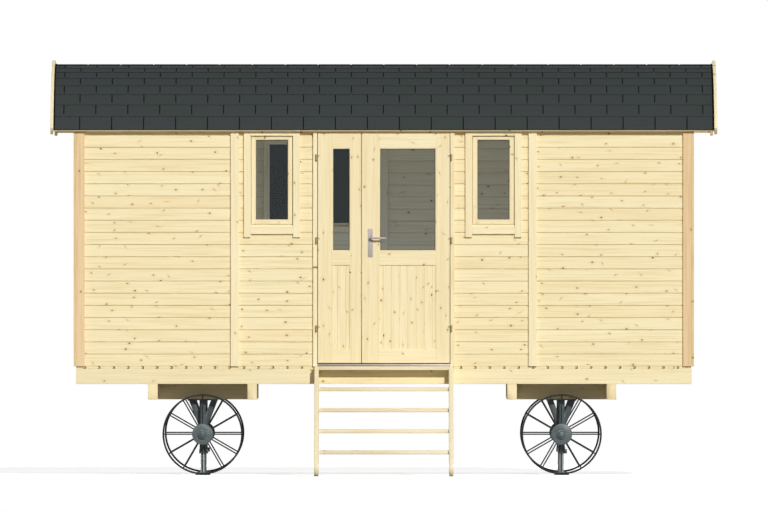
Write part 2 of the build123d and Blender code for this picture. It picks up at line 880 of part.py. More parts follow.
with BuildPart() as window_frames:
    with BuildSketch(front_view(wall_face)):
        for x in (window_left_x, window_right_x):
            rectangle_between(
                x - front_window_half, window_frame_low, x + front_window_half, window_frame_high
            )
            rectangle_between(
                x - window_glass_width / 2,
                window_glass_bottom,
                x + window_glass_width / 2,
                window_glass_bottom + window_glass_height,
                mode=Mode.SUBTRACT,
            )
    extrude(amount=-window_frame_depth)
    with BuildSketch(front_view(wall_face)):
        for x in (window_left_x, window_right_x):
            for border, mode in ((sash_width + sash_gap, Mode.ADD), (sash_width, Mode.SUBTRACT)):
                rectangle_between(
                    x - window_glass_width / 2 - border,
                    window_glass_bottom - border,
                    x + window_glass_width / 2 + border,
                    window_glass_bottom + window_glass_height + border,
                    mode=mode,
                )
    extrude(amount=-sash_gap_depth, mode=Mode.SUBTRACT)
    with BuildSketch(front_view(wall_face)):
        for x in (window_left_x, window_right_x):
            sill_reach = front_window_half - casing_side_cover
            sill_low = window_glass_bottom - sill_board_drop
            rectangle_between(x - sill_reach, sill_low, x + sill_reach, sill_low + sill_height)
    extrude(amount=sill_proud)
    with BuildSketch(front_view(-wall_face)):
        rear_low = window_glass_bottom - rear_window_drop
        rectangle_between(
            rear_window_x - rear_window_half,
            rear_low - window_frame_width,
            rear_window_x + rear_window_half,
            rear_low + window_glass_height + window_frame_width,
        )
        for shift in (-rear_pane_shift, rear_pane_shift):
            rectangle_between(
                rear_window_x + shift - rear_pane_width / 2,
                rear_low,
                rear_window_x + shift + rear_pane_width / 2,
                rear_low + window_glass_height,
                mode=Mode.SUBTRACT,
            )
    extrude(amount=window_frame_depth)
    add(window_panes.part, mode=Mode.SUBTRACT)
    for x, side, width, drop in window_panes_at:
        low = window_glass_bottom - drop
        for face, inward in ((wall_face, side), (wall_face - window_frame_depth, -side)):
            splay(
                -side * face,
                inward,
                x - width / 2,
                low,
                x + width / 2,
                low + window_glass_height,
                (window_frame_depth - glass_thickness) / 2,
            )
keep(window_frames, "window_frames")


def window_casing(x, side, half_gap, drop):
    """Boards around a window on the wall's face, the side boards longer than the sill board."""
    glass_low = window_glass_bottom - drop
    glass_high = glass_low + window_glass_height
    outer = half_gap + casing_width
    head_low = glass_high + window_frame_width - casing_head_cover
    sill_high = glass_low - sill_board_drop
    with BuildPart() as casing:
        with BuildSketch(front_view(-side * wall_face)):
            for hand in (-1, 1):
                with Locations((x + hand * (half_gap + casing_width / 2), 0)):
                    board_low = glass_low - casing_drop
                    board_length = head_low + casing_width - board_low
                    with Locations((0, board_low + board_length / 2)):
                        Rectangle(casing_width, board_length)
            rectangle_between(x - half_gap, head_low, x + half_gap, head_low + casing_width)
            rectangle_between(x - outer, sill_high - casing_width, x + outer, sill_high)
        extrude(amount=-side * trim_thickness)
    return casing


with BuildPart() as window_casings:
    for x in (window_left_x, window_right_x):
        add(window_casing(x, -1, front_window_half - casing_side_cover, 0).part)
    rear_gap = rear_window_half - casing_side_cover
    add(window_casing(rear_window_x, 1, rear_gap, rear_window_drop).part)
keep(window_casings, "window_casings")

# Steps
with BuildPart() as step_stringers:
    for x in (-stringer_x, stringer_x):
        with BuildSketch(cross_section(x - stringer_thickness / 2)) as stringer_side:
            Polygon(
                (-wall_face, stringer_low_line),
                (-wall_face, top_tread_z),
                (-wall_face - top_tread_nose, top_tread_z),
                (-wall_face - top_tread_nose, stringer_front_z),
                (-wall_face - stringer_toe, 0),
                (-wall_face - stringer_heel, 0),
                align=None,
            )
            fillet(stringer_side.vertices().sort_by(Axis.X)[0], radius=stringer_toe_radius)
        extrude(amount=stringer_thickness)
keep(step_stringers, "step_stringers")

with BuildPart() as step_treads:
    tread_half = stringer_x - stringer_thickness / 2
    treads = [(top_tread_nose, top_tread_nose, top_tread_z)]
    for number in range(tread_count - 1):
        nose = second_tread_nose + number * tread_going
        treads.append((nose, tread_depth, second_tread_z - number * tread_pitch))
    for nose, depth, tread_z in treads:
        front = -wall_face - nose
        with BuildSketch(cross_section(-tread_half)) as tread_side:
            rectangle_between(front, tread_z - tread_thickness, front + depth, tread_z)
            fillet(tread_side.vertices().sort_by(Axis.X)[:2], radius=tread_rounding)
        extrude(amount=2 * tread_half)
keep(step_treads, "step_treads")
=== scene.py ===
"""Dresses a shepherds hut: boards, shingles, door set, windows, running gear, steps and studio."""

from __future__ import annotations

import logging
import math
import random
from dataclasses import dataclass, field
from enum import Enum
from functools import cache
from typing import Callable, Sequence

import bmesh
import bpy
import numpy as np
from bpy.types import ID, Material, Mesh, Node, NodeSocket, NodeTree, Object
from mathutils import Matrix, Vector


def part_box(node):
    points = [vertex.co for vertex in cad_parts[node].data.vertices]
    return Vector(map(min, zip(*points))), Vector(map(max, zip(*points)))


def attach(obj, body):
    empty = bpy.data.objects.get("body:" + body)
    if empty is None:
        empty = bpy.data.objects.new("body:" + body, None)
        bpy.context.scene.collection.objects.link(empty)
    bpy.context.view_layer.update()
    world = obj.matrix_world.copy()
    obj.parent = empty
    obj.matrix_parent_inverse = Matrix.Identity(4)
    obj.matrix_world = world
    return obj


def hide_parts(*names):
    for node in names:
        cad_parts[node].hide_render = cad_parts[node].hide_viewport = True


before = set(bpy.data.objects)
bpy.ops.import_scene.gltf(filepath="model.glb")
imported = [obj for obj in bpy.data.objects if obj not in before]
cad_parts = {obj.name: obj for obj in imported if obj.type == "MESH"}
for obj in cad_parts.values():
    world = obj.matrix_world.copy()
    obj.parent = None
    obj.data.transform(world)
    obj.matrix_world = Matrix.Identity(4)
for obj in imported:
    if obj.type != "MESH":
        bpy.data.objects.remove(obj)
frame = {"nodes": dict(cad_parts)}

LOG = logging.getLogger("shepherds_hut")
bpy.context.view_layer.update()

# Gap between two boards that meet, in metres.
JOINT = 0.0003

# Points of a CAD mesh that lie closer than this are one point.
MERGE_REACH = 0.00002

# A face of a board whose points differ less than this along the grain is its end.
END_REACH = 0.0008

Pair = tuple[float, float]
Box = tuple[Vector, Vector]
Colour = tuple[float, float, float, float]
Feeds = dict[str | int, object]


class Side(Enum):
    """The two long sides of the hut, as the sign of the way they face along Y."""

    FRONT = -1
    REAR = 1


class Cut(Enum):
    """How a cutter works on a piece."""

    AWAY = "DIFFERENCE"
    WITHIN = "INTERSECT"


def tint(code: str) -> Colour:
    """Turn a six-figure colour code into the linear colour that shaders take.

    Args:
        code: Red, green and blue as two hexadecimal figures each.

    Returns:
        The colour with linear red, green and blue.
    """
    parts = [int(code[start : start + 2], 16) / 255 for start in (0, 2, 4)]
    line = [part / 12.92 if part <= 0.04045 else ((part + 0.055) / 1.055) ** 2.4 for part in parts]
    return (line[0], line[1], line[2], 1.0)


def rectangle(near: float, far: float, low: float, high: float) -> list[Pair]:
    """Return the corners of a rectangle between two values each way."""
    return [(near, low), (far, low), (far, high), (near, high)]


def sum_with(operation: str, swapped: bool = False) -> Callable[[Value, object], Value]:
    """Make the method by which a value takes part in one kind of sum.

    Args:
        operation: The Math node's operation.
        swapped: Whether the other number comes first.

    Returns:
        The method.
    """

    def method(self: Value, other: object) -> Value:
        """Join this value and another number."""
        pair = (other, self) if swapped else (self, other)
        return self.sheet.math(operation, *pair)

    return method


class Value:
    """A node's output, which takes part in sums as a plain number does."""

    def __init__(self, sheet: Sheet, socket: NodeSocket) -> None:
        """Hold an output and the sheet that its sums go on."""
        self.sheet = sheet
        self.socket = socket

    __add__, __radd__ = sum_with("ADD"), sum_with("ADD", swapped=True)
    __sub__, __rsub__ = sum_with("SUBTRACT"), sum_with("SUBTRACT", swapped=True)
    __mul__, __rmul__ = sum_with("MULTIPLY"), sum_with("MULTIPLY", swapped=True)
    __truediv__, __rtruediv__ = sum_with("DIVIDE"), sum_with("DIVIDE", swapped=True)
    __pow__ = sum_with("POWER")


class Sheet:
    """Adds nodes to one tree and joins them."""

    def __init__(self, tree: NodeTree) -> None:
        """Start on a tree."""
        self.tree = tree

    def feed(self, node: Node, feeds: Feeds) -> None:
        """Link values to a node's inputs, or set the inputs' own numbers and colours.

        Args:
            node: The node.
            feeds: Values for its inputs, by name or number.
        """
        for name, value in feeds.items():
            if isinstance(value, Value):
                self.tree.links.new(value.socket, node.inputs[name])
            else:
                node.inputs[name].default_value = value

    def add(self, kind: str, feeds: Feeds | None = None, **settings: object) -> Node:
        """Add a node.

        Args:
            kind: The node's type name.
            feeds: Values for its inputs, by name or number.
            settings: Values for its own properties.

        Returns:
            The new node.
        """
        node = self.tree.nodes.new(kind)
        for name, value in settings.items():
            setattr(node, name, value)
        self.feed(node, feeds or {})
        return node

    def value(self, kind: str, feeds: Feeds | None = None, out: str | int = 0, **settings: object) -> Value:
        """Add a node as add does, and return one of its outputs."""
        return Value(self, self.add(kind, feeds, **settings).outputs[out])

    def outputs(self, kind: str, feeds: Feeds | None = None, **settings: object) -> dict[str, Value]:
        """Add a node as add does, and return its outputs by name."""
        return {socket.name: Value(self, socket) for socket in self.add(kind, feeds, **settings).outputs}

    def math(self, operation: str, *values: object) -> Value:
        """Add a Math node and return its result."""
        return self.value("ShaderNodeMath", dict(enumerate(values)), operation=operation)

    def vector(self, x: object, y: object, z: object) -> Value:
        """Join three values into a vector."""
        return self.value("ShaderNodeCombineXYZ", {0: x, 1: y, 2: z})

    def split(self, value: Value, kind: str = "XYZ") -> list[Value]:
        """Split a vector, or with the kind Color a colour, into its three values."""
        return list(self.outputs(f"ShaderNodeSeparate{kind}", {0: value}).values())

    def ease(self, value: Value, low: object, high: object) -> Value:
        """Rise smoothly from 0 at a low value to 1 at a high one."""
        feeds = {"Value": value, "From Min": low, "From Max": high}
        return self.value("ShaderNodeMapRange", feeds, "Result", interpolation_type="SMOOTHSTEP")

    def noise(self, vector: Value, scale: object, detail: float = 2.0) -> Value:
        """Add a noise pattern and return its value."""
        return self.value("ShaderNodeTexNoise", {"Vector": vector, "Scale": scale, "Detail": detail})

    def blend(self, share: object, low: object, high: object) -> Value:
        """Mix two colours by a share."""
        return self.value("ShaderNodeMix", {0: share, 6: low, 7: high}, 2, data_type="RGBA")

    def mark(self, name: str, out: str = "Fac") -> Value:
        """Read a mark that was left on the mesh."""
        return self.value("ShaderNodeAttribute", out=out, attribute_name=name)

    def bump(self, height: Value, distance: float, strength: float = 1.0) -> Value:
        """Turn a height into a normal."""
        return self.value("ShaderNodeBump", {"Height": height, "Distance": distance, "Strength": strength})


def new_tree(
    name: str, kind: str, takes: dict[str, str], gives: dict[str, str]
) -> tuple[Sheet, dict[str, Value]]:
    """Start a node group.

    Args:
        name: Its name.
        kind: Shader or Geometry.
        takes: Names of its inputs, each with the kind of its socket.
        gives: Names of its outputs, likewise.

    Returns:
        A sheet on the group, and what it takes by name.
    """
    tree = bpy.data.node_groups.new(name, f"{kind}NodeTree")
    for way, sockets in (("INPUT", takes), ("OUTPUT", gives)):
        for label, sort in sockets.items():
            tree.interface.new_socket(label, in_out=way, socket_type=f"NodeSocket{sort}")
    sheet = Sheet(tree)
    return sheet, sheet.outputs("NodeGroupInput")


def grain_group() -> NodeTree:
    """Build the softwood pattern that every timber finish shares.

    Returns:
        A shader group that reads a place along, across and through a board, in metres.
    """
    takes = {"Place": "Vector", "End": "Float", "Knot Share": "Float", "Ring Width": "Float"}
    gives = dict.fromkeys(("Rings", "Knots", "Halo", "Drift", "Fibre"), "Float")
    sheet, given = new_tree("softwood_grain", "Shader", takes, gives)
    along, across, through = sheet.split(given["Place"])

    # One knot may lie in each cell, longer along the board than across it, leaning its own way.
    cell_long, cell_wide = 0.23, 0.08
    knot_place = sheet.vector(along / cell_long, across / cell_wide, 0.0)
    feeds = {"Vector": knot_place, "Scale": 1.0}
    cells = sheet.outputs("ShaderNodeTexVoronoi", feeds, voronoi_dimensions="2D")
    centre_long, centre_wide, _ = sheet.split(cells["Position"])
    place_long, place_wide, _ = sheet.split(knot_place)
    off_long = (place_long - centre_long) * (cell_long * 0.75)
    off_wide = (place_wide - centre_wide) * cell_wide
    weight, chance, tilt = sheet.split(cells["Color"], "Color")
    lean = (tilt - 0.5) * 2.6
    cosine, sine = sheet.math("COSINE", lean), sheet.math("SINE", lean)
    run = (off_long * cosine + off_wide * sine) * (0.3 + weight * 0.7)
    rise = off_wide * cosine - off_long * sine
    ragged = (sheet.noise(given["Place"], 160.0) - 0.5) * 0.003
    away = sheet.math("SQRT", run**2.0 + rise**2.0) + ragged
    size = 0.0042 + 0.0046 * weight**2.0
    there = sheet.math("LESS_THAN", chance, given["Knot Share"])
    knots = there * (1.0 - sheet.ease(away, 0.0, size)) * (0.3 + weight * 0.7)
    halo = there * (1.0 - sheet.ease(away, 0.0, size * 3.4))

    # Rings run along the faces and bend round knots; on an end they circle the pith.
    bent = across - off_wide * (halo * 0.6)
    sway = sheet.noise(sheet.vector(along * 0.55, across * 3.0, through), 1.0, 1.5)
    turn = bent / given["Ring Width"] + sway * 9.0
    side_rings = 0.5 + 0.5 * sheet.math("SINE", turn * math.tau)
    pith_across = (sheet.math("SINE", across) + 0.35) ** 2.0
    pith_through = (sheet.math("SINE", through) + 0.35) ** 2.0
    end_turn = sheet.math("SQRT", pith_across + pith_through) / given["Ring Width"]
    end_rings = 0.5 + 0.5 * sheet.math("SINE", end_turn * math.tau)
    feeds = {0: given["End"], 2: side_rings, 3: end_rings}
    either = sheet.value("ShaderNodeMix", feeds, data_type="FLOAT")
    strong = sheet.noise(sheet.vector(along, across * 14.0, through), 1.0, 1.0)
    feeds = {
        "Rings": either**2.4 * sheet.ease(strong, 0.3, 0.75),
        "Knots": knots,
        "Halo": halo,
        "Drift": sheet.noise(sheet.vector(along * 2.2, bent * 72.0, through * 72.0), 1.0),
        "Fibre": sheet.noise(sheet.vector(along * 7.0, bent * 380.0, through * 380.0), 1.0),
    }
    sheet.add("NodeGroupOutput", feeds)
    return sheet.tree


def fleck_group() -> NodeTree:
    """Build the fine speckle and the soft smudges that metals, felt and shingles share.

    Returns:
        A shader group that puts out both as values from 0 to 1.
    """
    takes = {"Place": "Vector", "Grain Size": "Float", "Smudge Size": "Float"}
    gives = dict.fromkeys(("Flecks", "Smudges", "Cells"), "Float")
    sheet, given = new_tree("flecks_and_smudges", "Shader", takes, gives)
    place, fine = given["Place"], 1.0 / given["Grain Size"]
    cells = sheet.value("ShaderNodeTexVoronoi", {"Vector": place, "Scale": fine}, "Color")
    feeds = {
        "Flecks": sheet.noise(place, fine, 3.0),
        "Smudges": sheet.noise(place, 1.0 / given["Smudge Size"], 4.0),
        "Cells": sheet.split(cells, "Color")[0],
    }
    sheet.add("NodeGroupOutput", feeds)
    return sheet.tree


GRAIN = grain_group()
FLECKS = fleck_group()


def flecked(sheet: Sheet, grain_size: float, smudge_size: float) -> dict[str, Value]:
    """Put the flecks on object coordinates and return their values by name.

    Args:
        sheet: The sheet on the material's tree.
        grain_size: Size of the flecks in metres.
        smudge_size: Size of the smudges in metres.

    Returns:
        The values that the group gives, by name.
    """
    place = sheet.value("ShaderNodeTexCoord", out="Object")
    feeds = {"Place": place, "Grain Size": grain_size, "Smudge Size": smudge_size}
    return sheet.outputs("ShaderNodeGroup", feeds, node_tree=FLECKS)


@dataclass(frozen=True)
class Coat:
    """What every finish has: a name, and a material that its own kind paints."""

    name: str

    def paint(self, sheet: Sheet, shader: Node) -> None:
        """Feed the material's shader; each kind of finish has its own way."""

    def material(self) -> Material:
        """Make the finish's material.

        Returns:
            The new material.
        """
        made = bpy.data.materials.new(self.name)
        made.use_nodes = True
        self.paint(Sheet(made.node_tree), made.node_tree.nodes["Principled BSDF"])
        return made


@dataclass(frozen=True)
class TimberFinish(Coat):
    """Planed softwood, whose boards differ a little in tone."""

    pale: str = "faeec4"
    blush: str = "f6e5b8"
    late: str = "dcc285"
    warm: str = "d2a868"
    knot: str = "3a2410"
    ring_share: float = 0.4
    streak_share: float = 0.38
    knot_share: float = 0.8
    ring_width: float = 0.0042
    roughness: float = 0.62

    def paint(self, sheet: Sheet, shader: Node) -> None:
        """Lay late wood, then knots, over each board's tone, on the marks that mark_grain leaves.

        Args:
            sheet: The sheet on the material's tree.
            shader: The material's Principled shader.
        """
        end = sheet.mark("end")
        feeds = {
            "Place": sheet.mark("grain", "Vector"),
            "End": end,
            "Knot Share": self.knot_share,
            "Ring Width": self.ring_width,
        }
        wood = sheet.outputs("ShaderNodeGroup", feeds, node_tree=GRAIN)
        colour = sheet.blend(sheet.mark("tone"), tint(self.pale), tint(self.blush))
        late_shares = (
            wood["Rings"] * self.ring_share,
            sheet.ease(wood["Drift"], 0.42, 0.72) * self.streak_share,
            wood["Fibre"] * 0.2,
            end * 0.25,
        )
        for share in late_shares:
            colour = sheet.blend(share, colour, tint(self.late))
        colour = sheet.blend(wood["Halo"] * 0.3, colour, tint(self.warm))
        core = sheet.ease(wood["Knots"], 0.05, 0.45) * 0.85
        feeds = {
            "Base Color": sheet.blend(core, colour, tint(self.knot)),
            "Roughness": self.roughness + wood["Fibre"] * 0.16,
            "Normal": sheet.bump(wood["Rings"] * 0.4 + wood["Fibre"], 0.0002, 0.5),
            "Specular IOR Level": 0.3,
        }
        sheet.feed(shader, feeds)


@dataclass(frozen=True)
class MetalFinish(Coat):
    """Coated, galvanised or satin metal with faint smudges."""

    base: str
    shade: str
    metallic: float
    roughness: float
    grain_size: float = 0.002
    smudge_size: float = 0.12
    fleck_share: float = 0.15
    relief: float = 0.00005
    sheen: float = 0.5

    def paint(self, sheet: Sheet, shader: Node) -> None:
        """Lay smudges and flecks of the shade over the base.

        Args:
            sheet: The sheet on the material's tree.
            shader: The material's Principled shader.
        """
        spots = flecked(sheet, self.grain_size, self.smudge_size)
        shade = tint(self.shade)
        colour = sheet.blend(sheet.ease(spots["Smudges"], 0.35, 0.7), tint(self.base), shade)
        feeds = {
            "Base Color": sheet.blend(sheet.ease(spots["Cells"], 0.3, 0.9) * self.fleck_share, colour, shade),
            "Roughness": self.roughness + spots["Flecks"] * 0.14,
            "Normal": sheet.bump(spots["Flecks"], self.relief),
            "Metallic": self.metallic,
            "Specular IOR Level": self.sheen,
        }
        sheet.feed(shader, feeds)


@dataclass(frozen=True)
class ShingleFinish(Coat):
    """Mineral granules on bitumen, each tab in a slightly different tone."""

    grey: str = "3b3f3e"
    green: str = "39403d"
    violet: str = "3c3f40"
    # Near-black of the cut edges: the bitumen's own colour, and also painted shade along each course's lower
    # edge.
    cut: str = "141616"
    light: str = "5d6466"
    granule_size: float = 0.0016

    def paint(self, sheet: Sheet, shader: Node) -> None:
        """Lay stains and light granules over each tab's tone, and blacken its cut edges: partly the bitumen's
        own colour, partly painted shade for the dark line under each course.

        Args:
            sheet: The sheet on the material's tree.
            shader: The material's Principled shader.
        """
        spots = flecked(sheet, self.granule_size, 0.09)
        tone = sheet.mark("tone")
        violet = tint(self.violet)
        colour = sheet.blend(sheet.ease(tone, 0.1, 0.5), tint(self.green), tint(self.grey))
        colour = sheet.blend(sheet.ease(tone, 0.6, 1.0), colour, violet)
        colour = sheet.blend(sheet.ease(spots["Smudges"], 0.4, 0.75) * 0.3, colour, violet)
        colour = sheet.blend(sheet.ease(spots["Cells"], 0.8, 0.98) * 0.3, colour, tint(self.light))
        feeds = {
            # Cut edges take the near-black: partly bitumen, partly painted shade.
            "Base Color": sheet.blend(sheet.mark("end"), colour, tint(self.cut)),
            "Normal": sheet.bump(spots["Cells"], 0.00015),
            "Roughness": 0.95,
            "Specular IOR Level": 0.04,
        }
        sheet.feed(shader, feeds)


@dataclass(frozen=True)
class GlassFinish(Coat):
    """Grey tinted glass that lets light and its own shadow through."""

    body: str
    clear: float
    passes: str

    def paint(self, sheet: Sheet, shader: Node) -> None:
        """Smear the glass faintly, and clear it for shadow and diffuse rays.

        Args:
            sheet: The sheet on the material's tree.
            shader: The material's Principled shader.
        """
        smear = sheet.ease(flecked(sheet, 0.01, 0.35)["Smudges"], 0.5, 0.8) * 0.03
        feeds = {
            "Roughness": 0.01 + smear,
            "Base Color": tint(self.body),
            "Transmission Weight": self.clear,
            "IOR": 1.12,
        }
        sheet.feed(shader, feeds)
        path = sheet.outputs("ShaderNodeLightPath")
        passing = sheet.math("MAXIMUM", path["Is Shadow Ray"], path["Is Diffuse Ray"])
        open_air = sheet.value("ShaderNodeBsdfTransparent", {"Color": tint(self.passes)})
        feeds = {0: passing, 1: Value(sheet, shader.outputs[0]), 2: open_air}
        mix = sheet.value("ShaderNodeMixShader", feeds)
        sheet.feed(sheet.tree.nodes["Material Output"], {"Surface": mix})


class Finish(Enum):
    """The finishes of the hut, one material each."""

    SPRUCE = TimberFinish("spruce_boards")
    TRIM = TimberFinish("spruce_trim", pale="faeec6", blush="f8e8bc", knot_share=0.4, streak_share=0.25)
    CORNER = TimberFinish("spruce_corner", pale="eed3a6", blush="e6c898", late="c9a468", knot_share=0.5)
    BEAM = TimberFinish("spruce_beams", pale="faeec6", blush="f7e8bc", knot_share=0.4, streak_share=0.3)
    DOOR = TimberFinish("door_spruce", pale="f9ecc4", blush="f6e6ba", knot_share=0.85, streak_share=0.3)
    STEP = TimberFinish("step_spruce", pale="f0e6c8", blush="ebdfbd", knot_share=0.3, streak_share=0.3)
    SHINGLE = ShingleFinish("slate_granules")
    FELT = MetalFinish("roofing_felt", "121415", "0d0f0f", 0.0, 0.85, 0.003, 0.2, sheen=0.05)
    WHEEL = MetalFinish("coated_steel", "4c5758", "455051", 0.0, 0.4, 0.003, 0.1)
    # A darker copy of the wheel's coat: painted shade on the spokes and the rim.
    RIM = MetalFinish("coated_rim", "24292a", "1e2323", 0.0, 0.5, 0.003, 0.1, sheen=0.15)
    LEG = MetalFinish("coated_steel_grey", "565e60", "4d5557", 0.0, 0.45, 0.003, 0.1, sheen=0.3)
    ZINC = MetalFinish("galvanised_steel", "9aa0a1", "8a9091", 0.55, 0.36, 0.012, 0.08, 0.5)
    HANDLE = MetalFinish("satin_handle", "b0a6a0", "a89c96", 0.15, 0.55, 0.0008, 0.03, 0.1, 0.00002)
    HINGE = MetalFinish("brassed_hinge", "9c8c62", "8f7f56", 0.3, 0.38, 0.001, 0.02, 0.15, 0.00003)
    SILL = MetalFinish("anodised_threshold", "a59d98", "9a928e", 0.25, 0.42, 0.001, 0.05, 0.1, 0.00002)
    # Dark seal: partly a real glazing seal, partly painted shade in the rebates round the panes and in the
    # lock's keyway.
    SEAL = MetalFinish("glazing_seal", "2c2a22", "24221c", 0.0, 0.7, 0.002, 0.05)
    GLASS = GlassFinish("clear_glass", "c8d6e4", 0.985, "e0e8ee")
    DARK_GLASS = GlassFinish("dark_glass", "2c2b22", 0.98, "8c9291")


@cache
def material_of(finish: Finish) -> Material:
    """Return a finish's material, made when it is first asked for."""
    return finish.value.material()


def baked(piece: Object) -> Object:
    """Turn a piece's modifiers into plain mesh.

    Args:
        piece: The piece with its modifiers.

    Returns:
        The same piece without them.
    """
    bpy.context.view_layer.update()
    graph = bpy.context.evaluated_depsgraph_get()
    mesh = bpy.data.meshes.new_from_object(piece.evaluated_get(graph))
    old = piece.data
    piece.modifiers.clear()
    piece.data = mesh
    bpy.data.meshes.remove(old)
    return piece


def carve(piece: Object, cutter: Object, how: Cut) -> Object:
    """Cut a piece with another, which is used up.

    Args:
        piece: The piece.
        cutter: The solid that cuts it.
        how: Whether the cutter takes away or keeps.

    Returns:
        The same piece.
    """
    modifier = piece.modifiers.new("carve", "BOOLEAN")
    modifier.operation = how.value
    modifier.solver = "EXACT"
    modifier.object = cutter
    baked(piece)
    bpy.data.objects.remove(cutter)
    return piece


def eased(piece: Object, width: float, segments: int = 2) -> Object:
    """Round a piece's sharp edges.

    Args:
        piece: The piece.
        width: Width of the rounding in metres.
        segments: Number of faces across it.

    Returns:
        The same piece.
    """
    bevel = piece.modifiers.new("ease", "BEVEL")
    bevel.width = width
    bevel.segments = segments
    bevel.limit_method = "ANGLE"
    bevel.angle_limit = math.radians(30)
    bevel.harden_normals = True
    return baked(piece)


def smooth(piece: Object, angle: float = 40.0) -> Object:
    """Shade a piece smoothly but for edges sharper than an angle in degrees.

    Args:
        piece: The piece.
        angle: The angle.

    Returns:
        The same piece.
    """
    piece.data.shade_smooth()
    piece.data.set_sharp_from_angle(angle=math.radians(angle))
    return piece


def new_piece(name: str, data: ID) -> Object:
    """Make an object for a mesh, a lamp or a camera and link it to the scene.

    Args:
        name: Its name.
        data: The mesh, lamp or camera.

    Returns:
        The new object.
    """
    piece = bpy.data.objects.new(name, data)
    bpy.context.scene.collection.objects.link(piece)
    return piece


class Joinery:
    """Collects closed solids into one mesh."""

    def __init__(self) -> None:
        """Start with nothing."""
        self.form = bmesh.new()

    def prism(self, section: Sequence[Vector], run: Vector) -> Joinery:
        """Add a solid of one flat section.

        Args:
            section: The section's corners, in order.
            run: The way and length it is drawn out.

        Returns:
            The collection.
        """
        near = [self.form.verts.new(point) for point in section]
        far = [self.form.verts.new(point + run) for point in section]
        self.form.faces.new(near)
        self.form.faces.new(list(reversed(far)))
        for index in range(len(near)):
            after = (index + 1) % len(near)
            self.form.faces.new((near[after], near[index], far[index], far[after]))
        return self

    def drawn(self, axis: int, corners: Sequence[Pair], start: float, end: float) -> Joinery:
        """Add a solid of one section, drawn out along an axis.

        Args:
            axis: 0, 1 or 2 for the axis X, Y or Z.
            corners: The section's corners on the other two axes.
            start: Where the solid starts on the axis.
            end: Where it ends.

        Returns:
            The collection.
        """
        run = Vector((0, 0, 0))
        run[axis] = end - start
        return self.prism([Vector((*pair[:axis], start, *pair[axis:])) for pair in corners], run)

    def board(self, one: Sequence[float], other: Sequence[float]) -> Joinery:
        """Add a straight board between two opposite corners."""
        (left, right), (near, far), (low, high) = (sorted(pair) for pair in zip(one, other))
        return self.drawn(2, rectangle(left, right, near, far), low, high)

    def rod(self, foot: Vector, axis: Vector, radius: float, sides: int = 24) -> Joinery:
        """Add a round rod.

        Args:
            foot: The middle of its first end.
            axis: The way and length it runs.
            radius: Its radius.
            sides: Number of faces around it.

        Returns:
            The collection.
        """
        turn = axis.to_track_quat("Z", "Y")
        ring = []
        for index in range(sides):
            angle = math.tau * index / sides
            ring.append(foot + turn @ Vector((radius * math.cos(angle), radius * math.sin(angle), 0)))
        return self.prism(ring, axis)

    def skin(self, rings: Sequence[Sequence[Vector]]) -> Joinery:
        """Add a solid whose skin runs from ring to ring and is closed at both ends.

        Args:
            rings: Rings of points, in order, each with as many points.

        Returns:
            The collection.
        """
        verts = [[self.form.verts.new(point) for point in ring] for ring in rings]
        for first, second in zip(verts, verts[1:]):
            for index in range(len(first)):
                after = (index + 1) % len(first)
                self.form.faces.new((first[index], first[after], second[after], second[index]))
        self.form.faces.new(list(reversed(verts[0])))
        self.form.faces.new(verts[-1])
        return self

    def sweep(self, section: Sequence[Pair], places: Sequence[Matrix]) -> Joinery:
        """Add a solid whose flat section is carried through a row of places."""
        return self.skin([[place @ Vector((x, y, 0)) for x, y in section] for place in places])

    def piece(self, name: str, finish: Finish) -> Object:
        """Close the collection into an object with outward faces.

        Args:
            name: The object's name.
            finish: Its finish.

        Returns:
            The new object.
        """
        bmesh.ops.recalc_face_normals(self.form, faces=self.form.faces[:])
        mesh = bpy.data.meshes.new(name)
        self.form.to_mesh(mesh)
        self.form.free()
        mesh.materials.append(material_of(finish))
        return new_piece(name, mesh)


def merged(node: str, flat_degrees: float = 0.0) -> Mesh:
    """Copy a CAD node's mesh and merge its doubles.

    Args:
        node: The CAD node.
        flat_degrees: Faces that meet at less than this become one; at 0 all stay.

    Returns:
        The copy.
    """
    mesh = frame["nodes"][node].data.copy()
    form = bmesh.new()
    form.from_mesh(mesh)
    bmesh.ops.remove_doubles(form, verts=form.verts[:], dist=MERGE_REACH)
    if flat_degrees:
        limit = math.radians(flat_degrees)
        bmesh.ops.dissolve_limit(form, angle_limit=limit, verts=form.verts[:], edges=form.edges[:])
    form.to_mesh(mesh)
    form.free()
    return mesh


def refined(name: str, node: str, finish: Finish, ease: float, segments: int = 2) -> Object:
    """Copy a CAD node, clean its mesh and round its edges.

    Args:
        name: The new object's name.
        node: The CAD node.
        finish: Its finish.
        ease: Width of the rounding in metres.
        segments: Number of faces across the rounding.

    Returns:
        The new object.
    """
    mesh = merged(node, flat_degrees=0.5)
    mesh.materials.clear()
    mesh.materials.append(material_of(finish))
    return smooth(eased(new_piece(name, mesh), ease, segments))


def corner_points(mesh: Mesh) -> np.ndarray:
    """Return a mesh's points, one to a row.

    Args:
        mesh: The mesh.

    Returns:
        The points, in metres.
    """
    points = np.zeros(len(mesh.vertices) * 3, np.float32)
    mesh.vertices.foreach_get("co", points)
    return points.reshape(-1, 3).astype(float)


def island_marks(mesh: Mesh) -> np.ndarray:
    """Number each vertex by the loose part it belongs to.

    Args:
        mesh: The mesh.

    Returns:
        For each vertex, the lowest vertex number of its part.
    """
    ends = np.zeros(len(mesh.edges) * 2, np.int64)
    mesh.edges.foreach_get("vertices", ends)
    first, second = ends[0::2], ends[1::2]
    marks = np.arange(len(mesh.vertices))
    while True:
        low = np.minimum(marks[first], marks[second])
        before = marks.copy()
        np.minimum.at(marks, first, low)
        np.minimum.at(marks, second, low)
        marks = marks[marks]
        if np.array_equal(before, marks):
            return marks


def leave_mark(mesh: Mesh, name: str, domain: str, values: Sequence[float]) -> None:
    """Leave one number on each point or face of a mesh for its finish to read."""
    mesh.attributes.new(name, "FLOAT", domain).data.foreach_set("value", values)


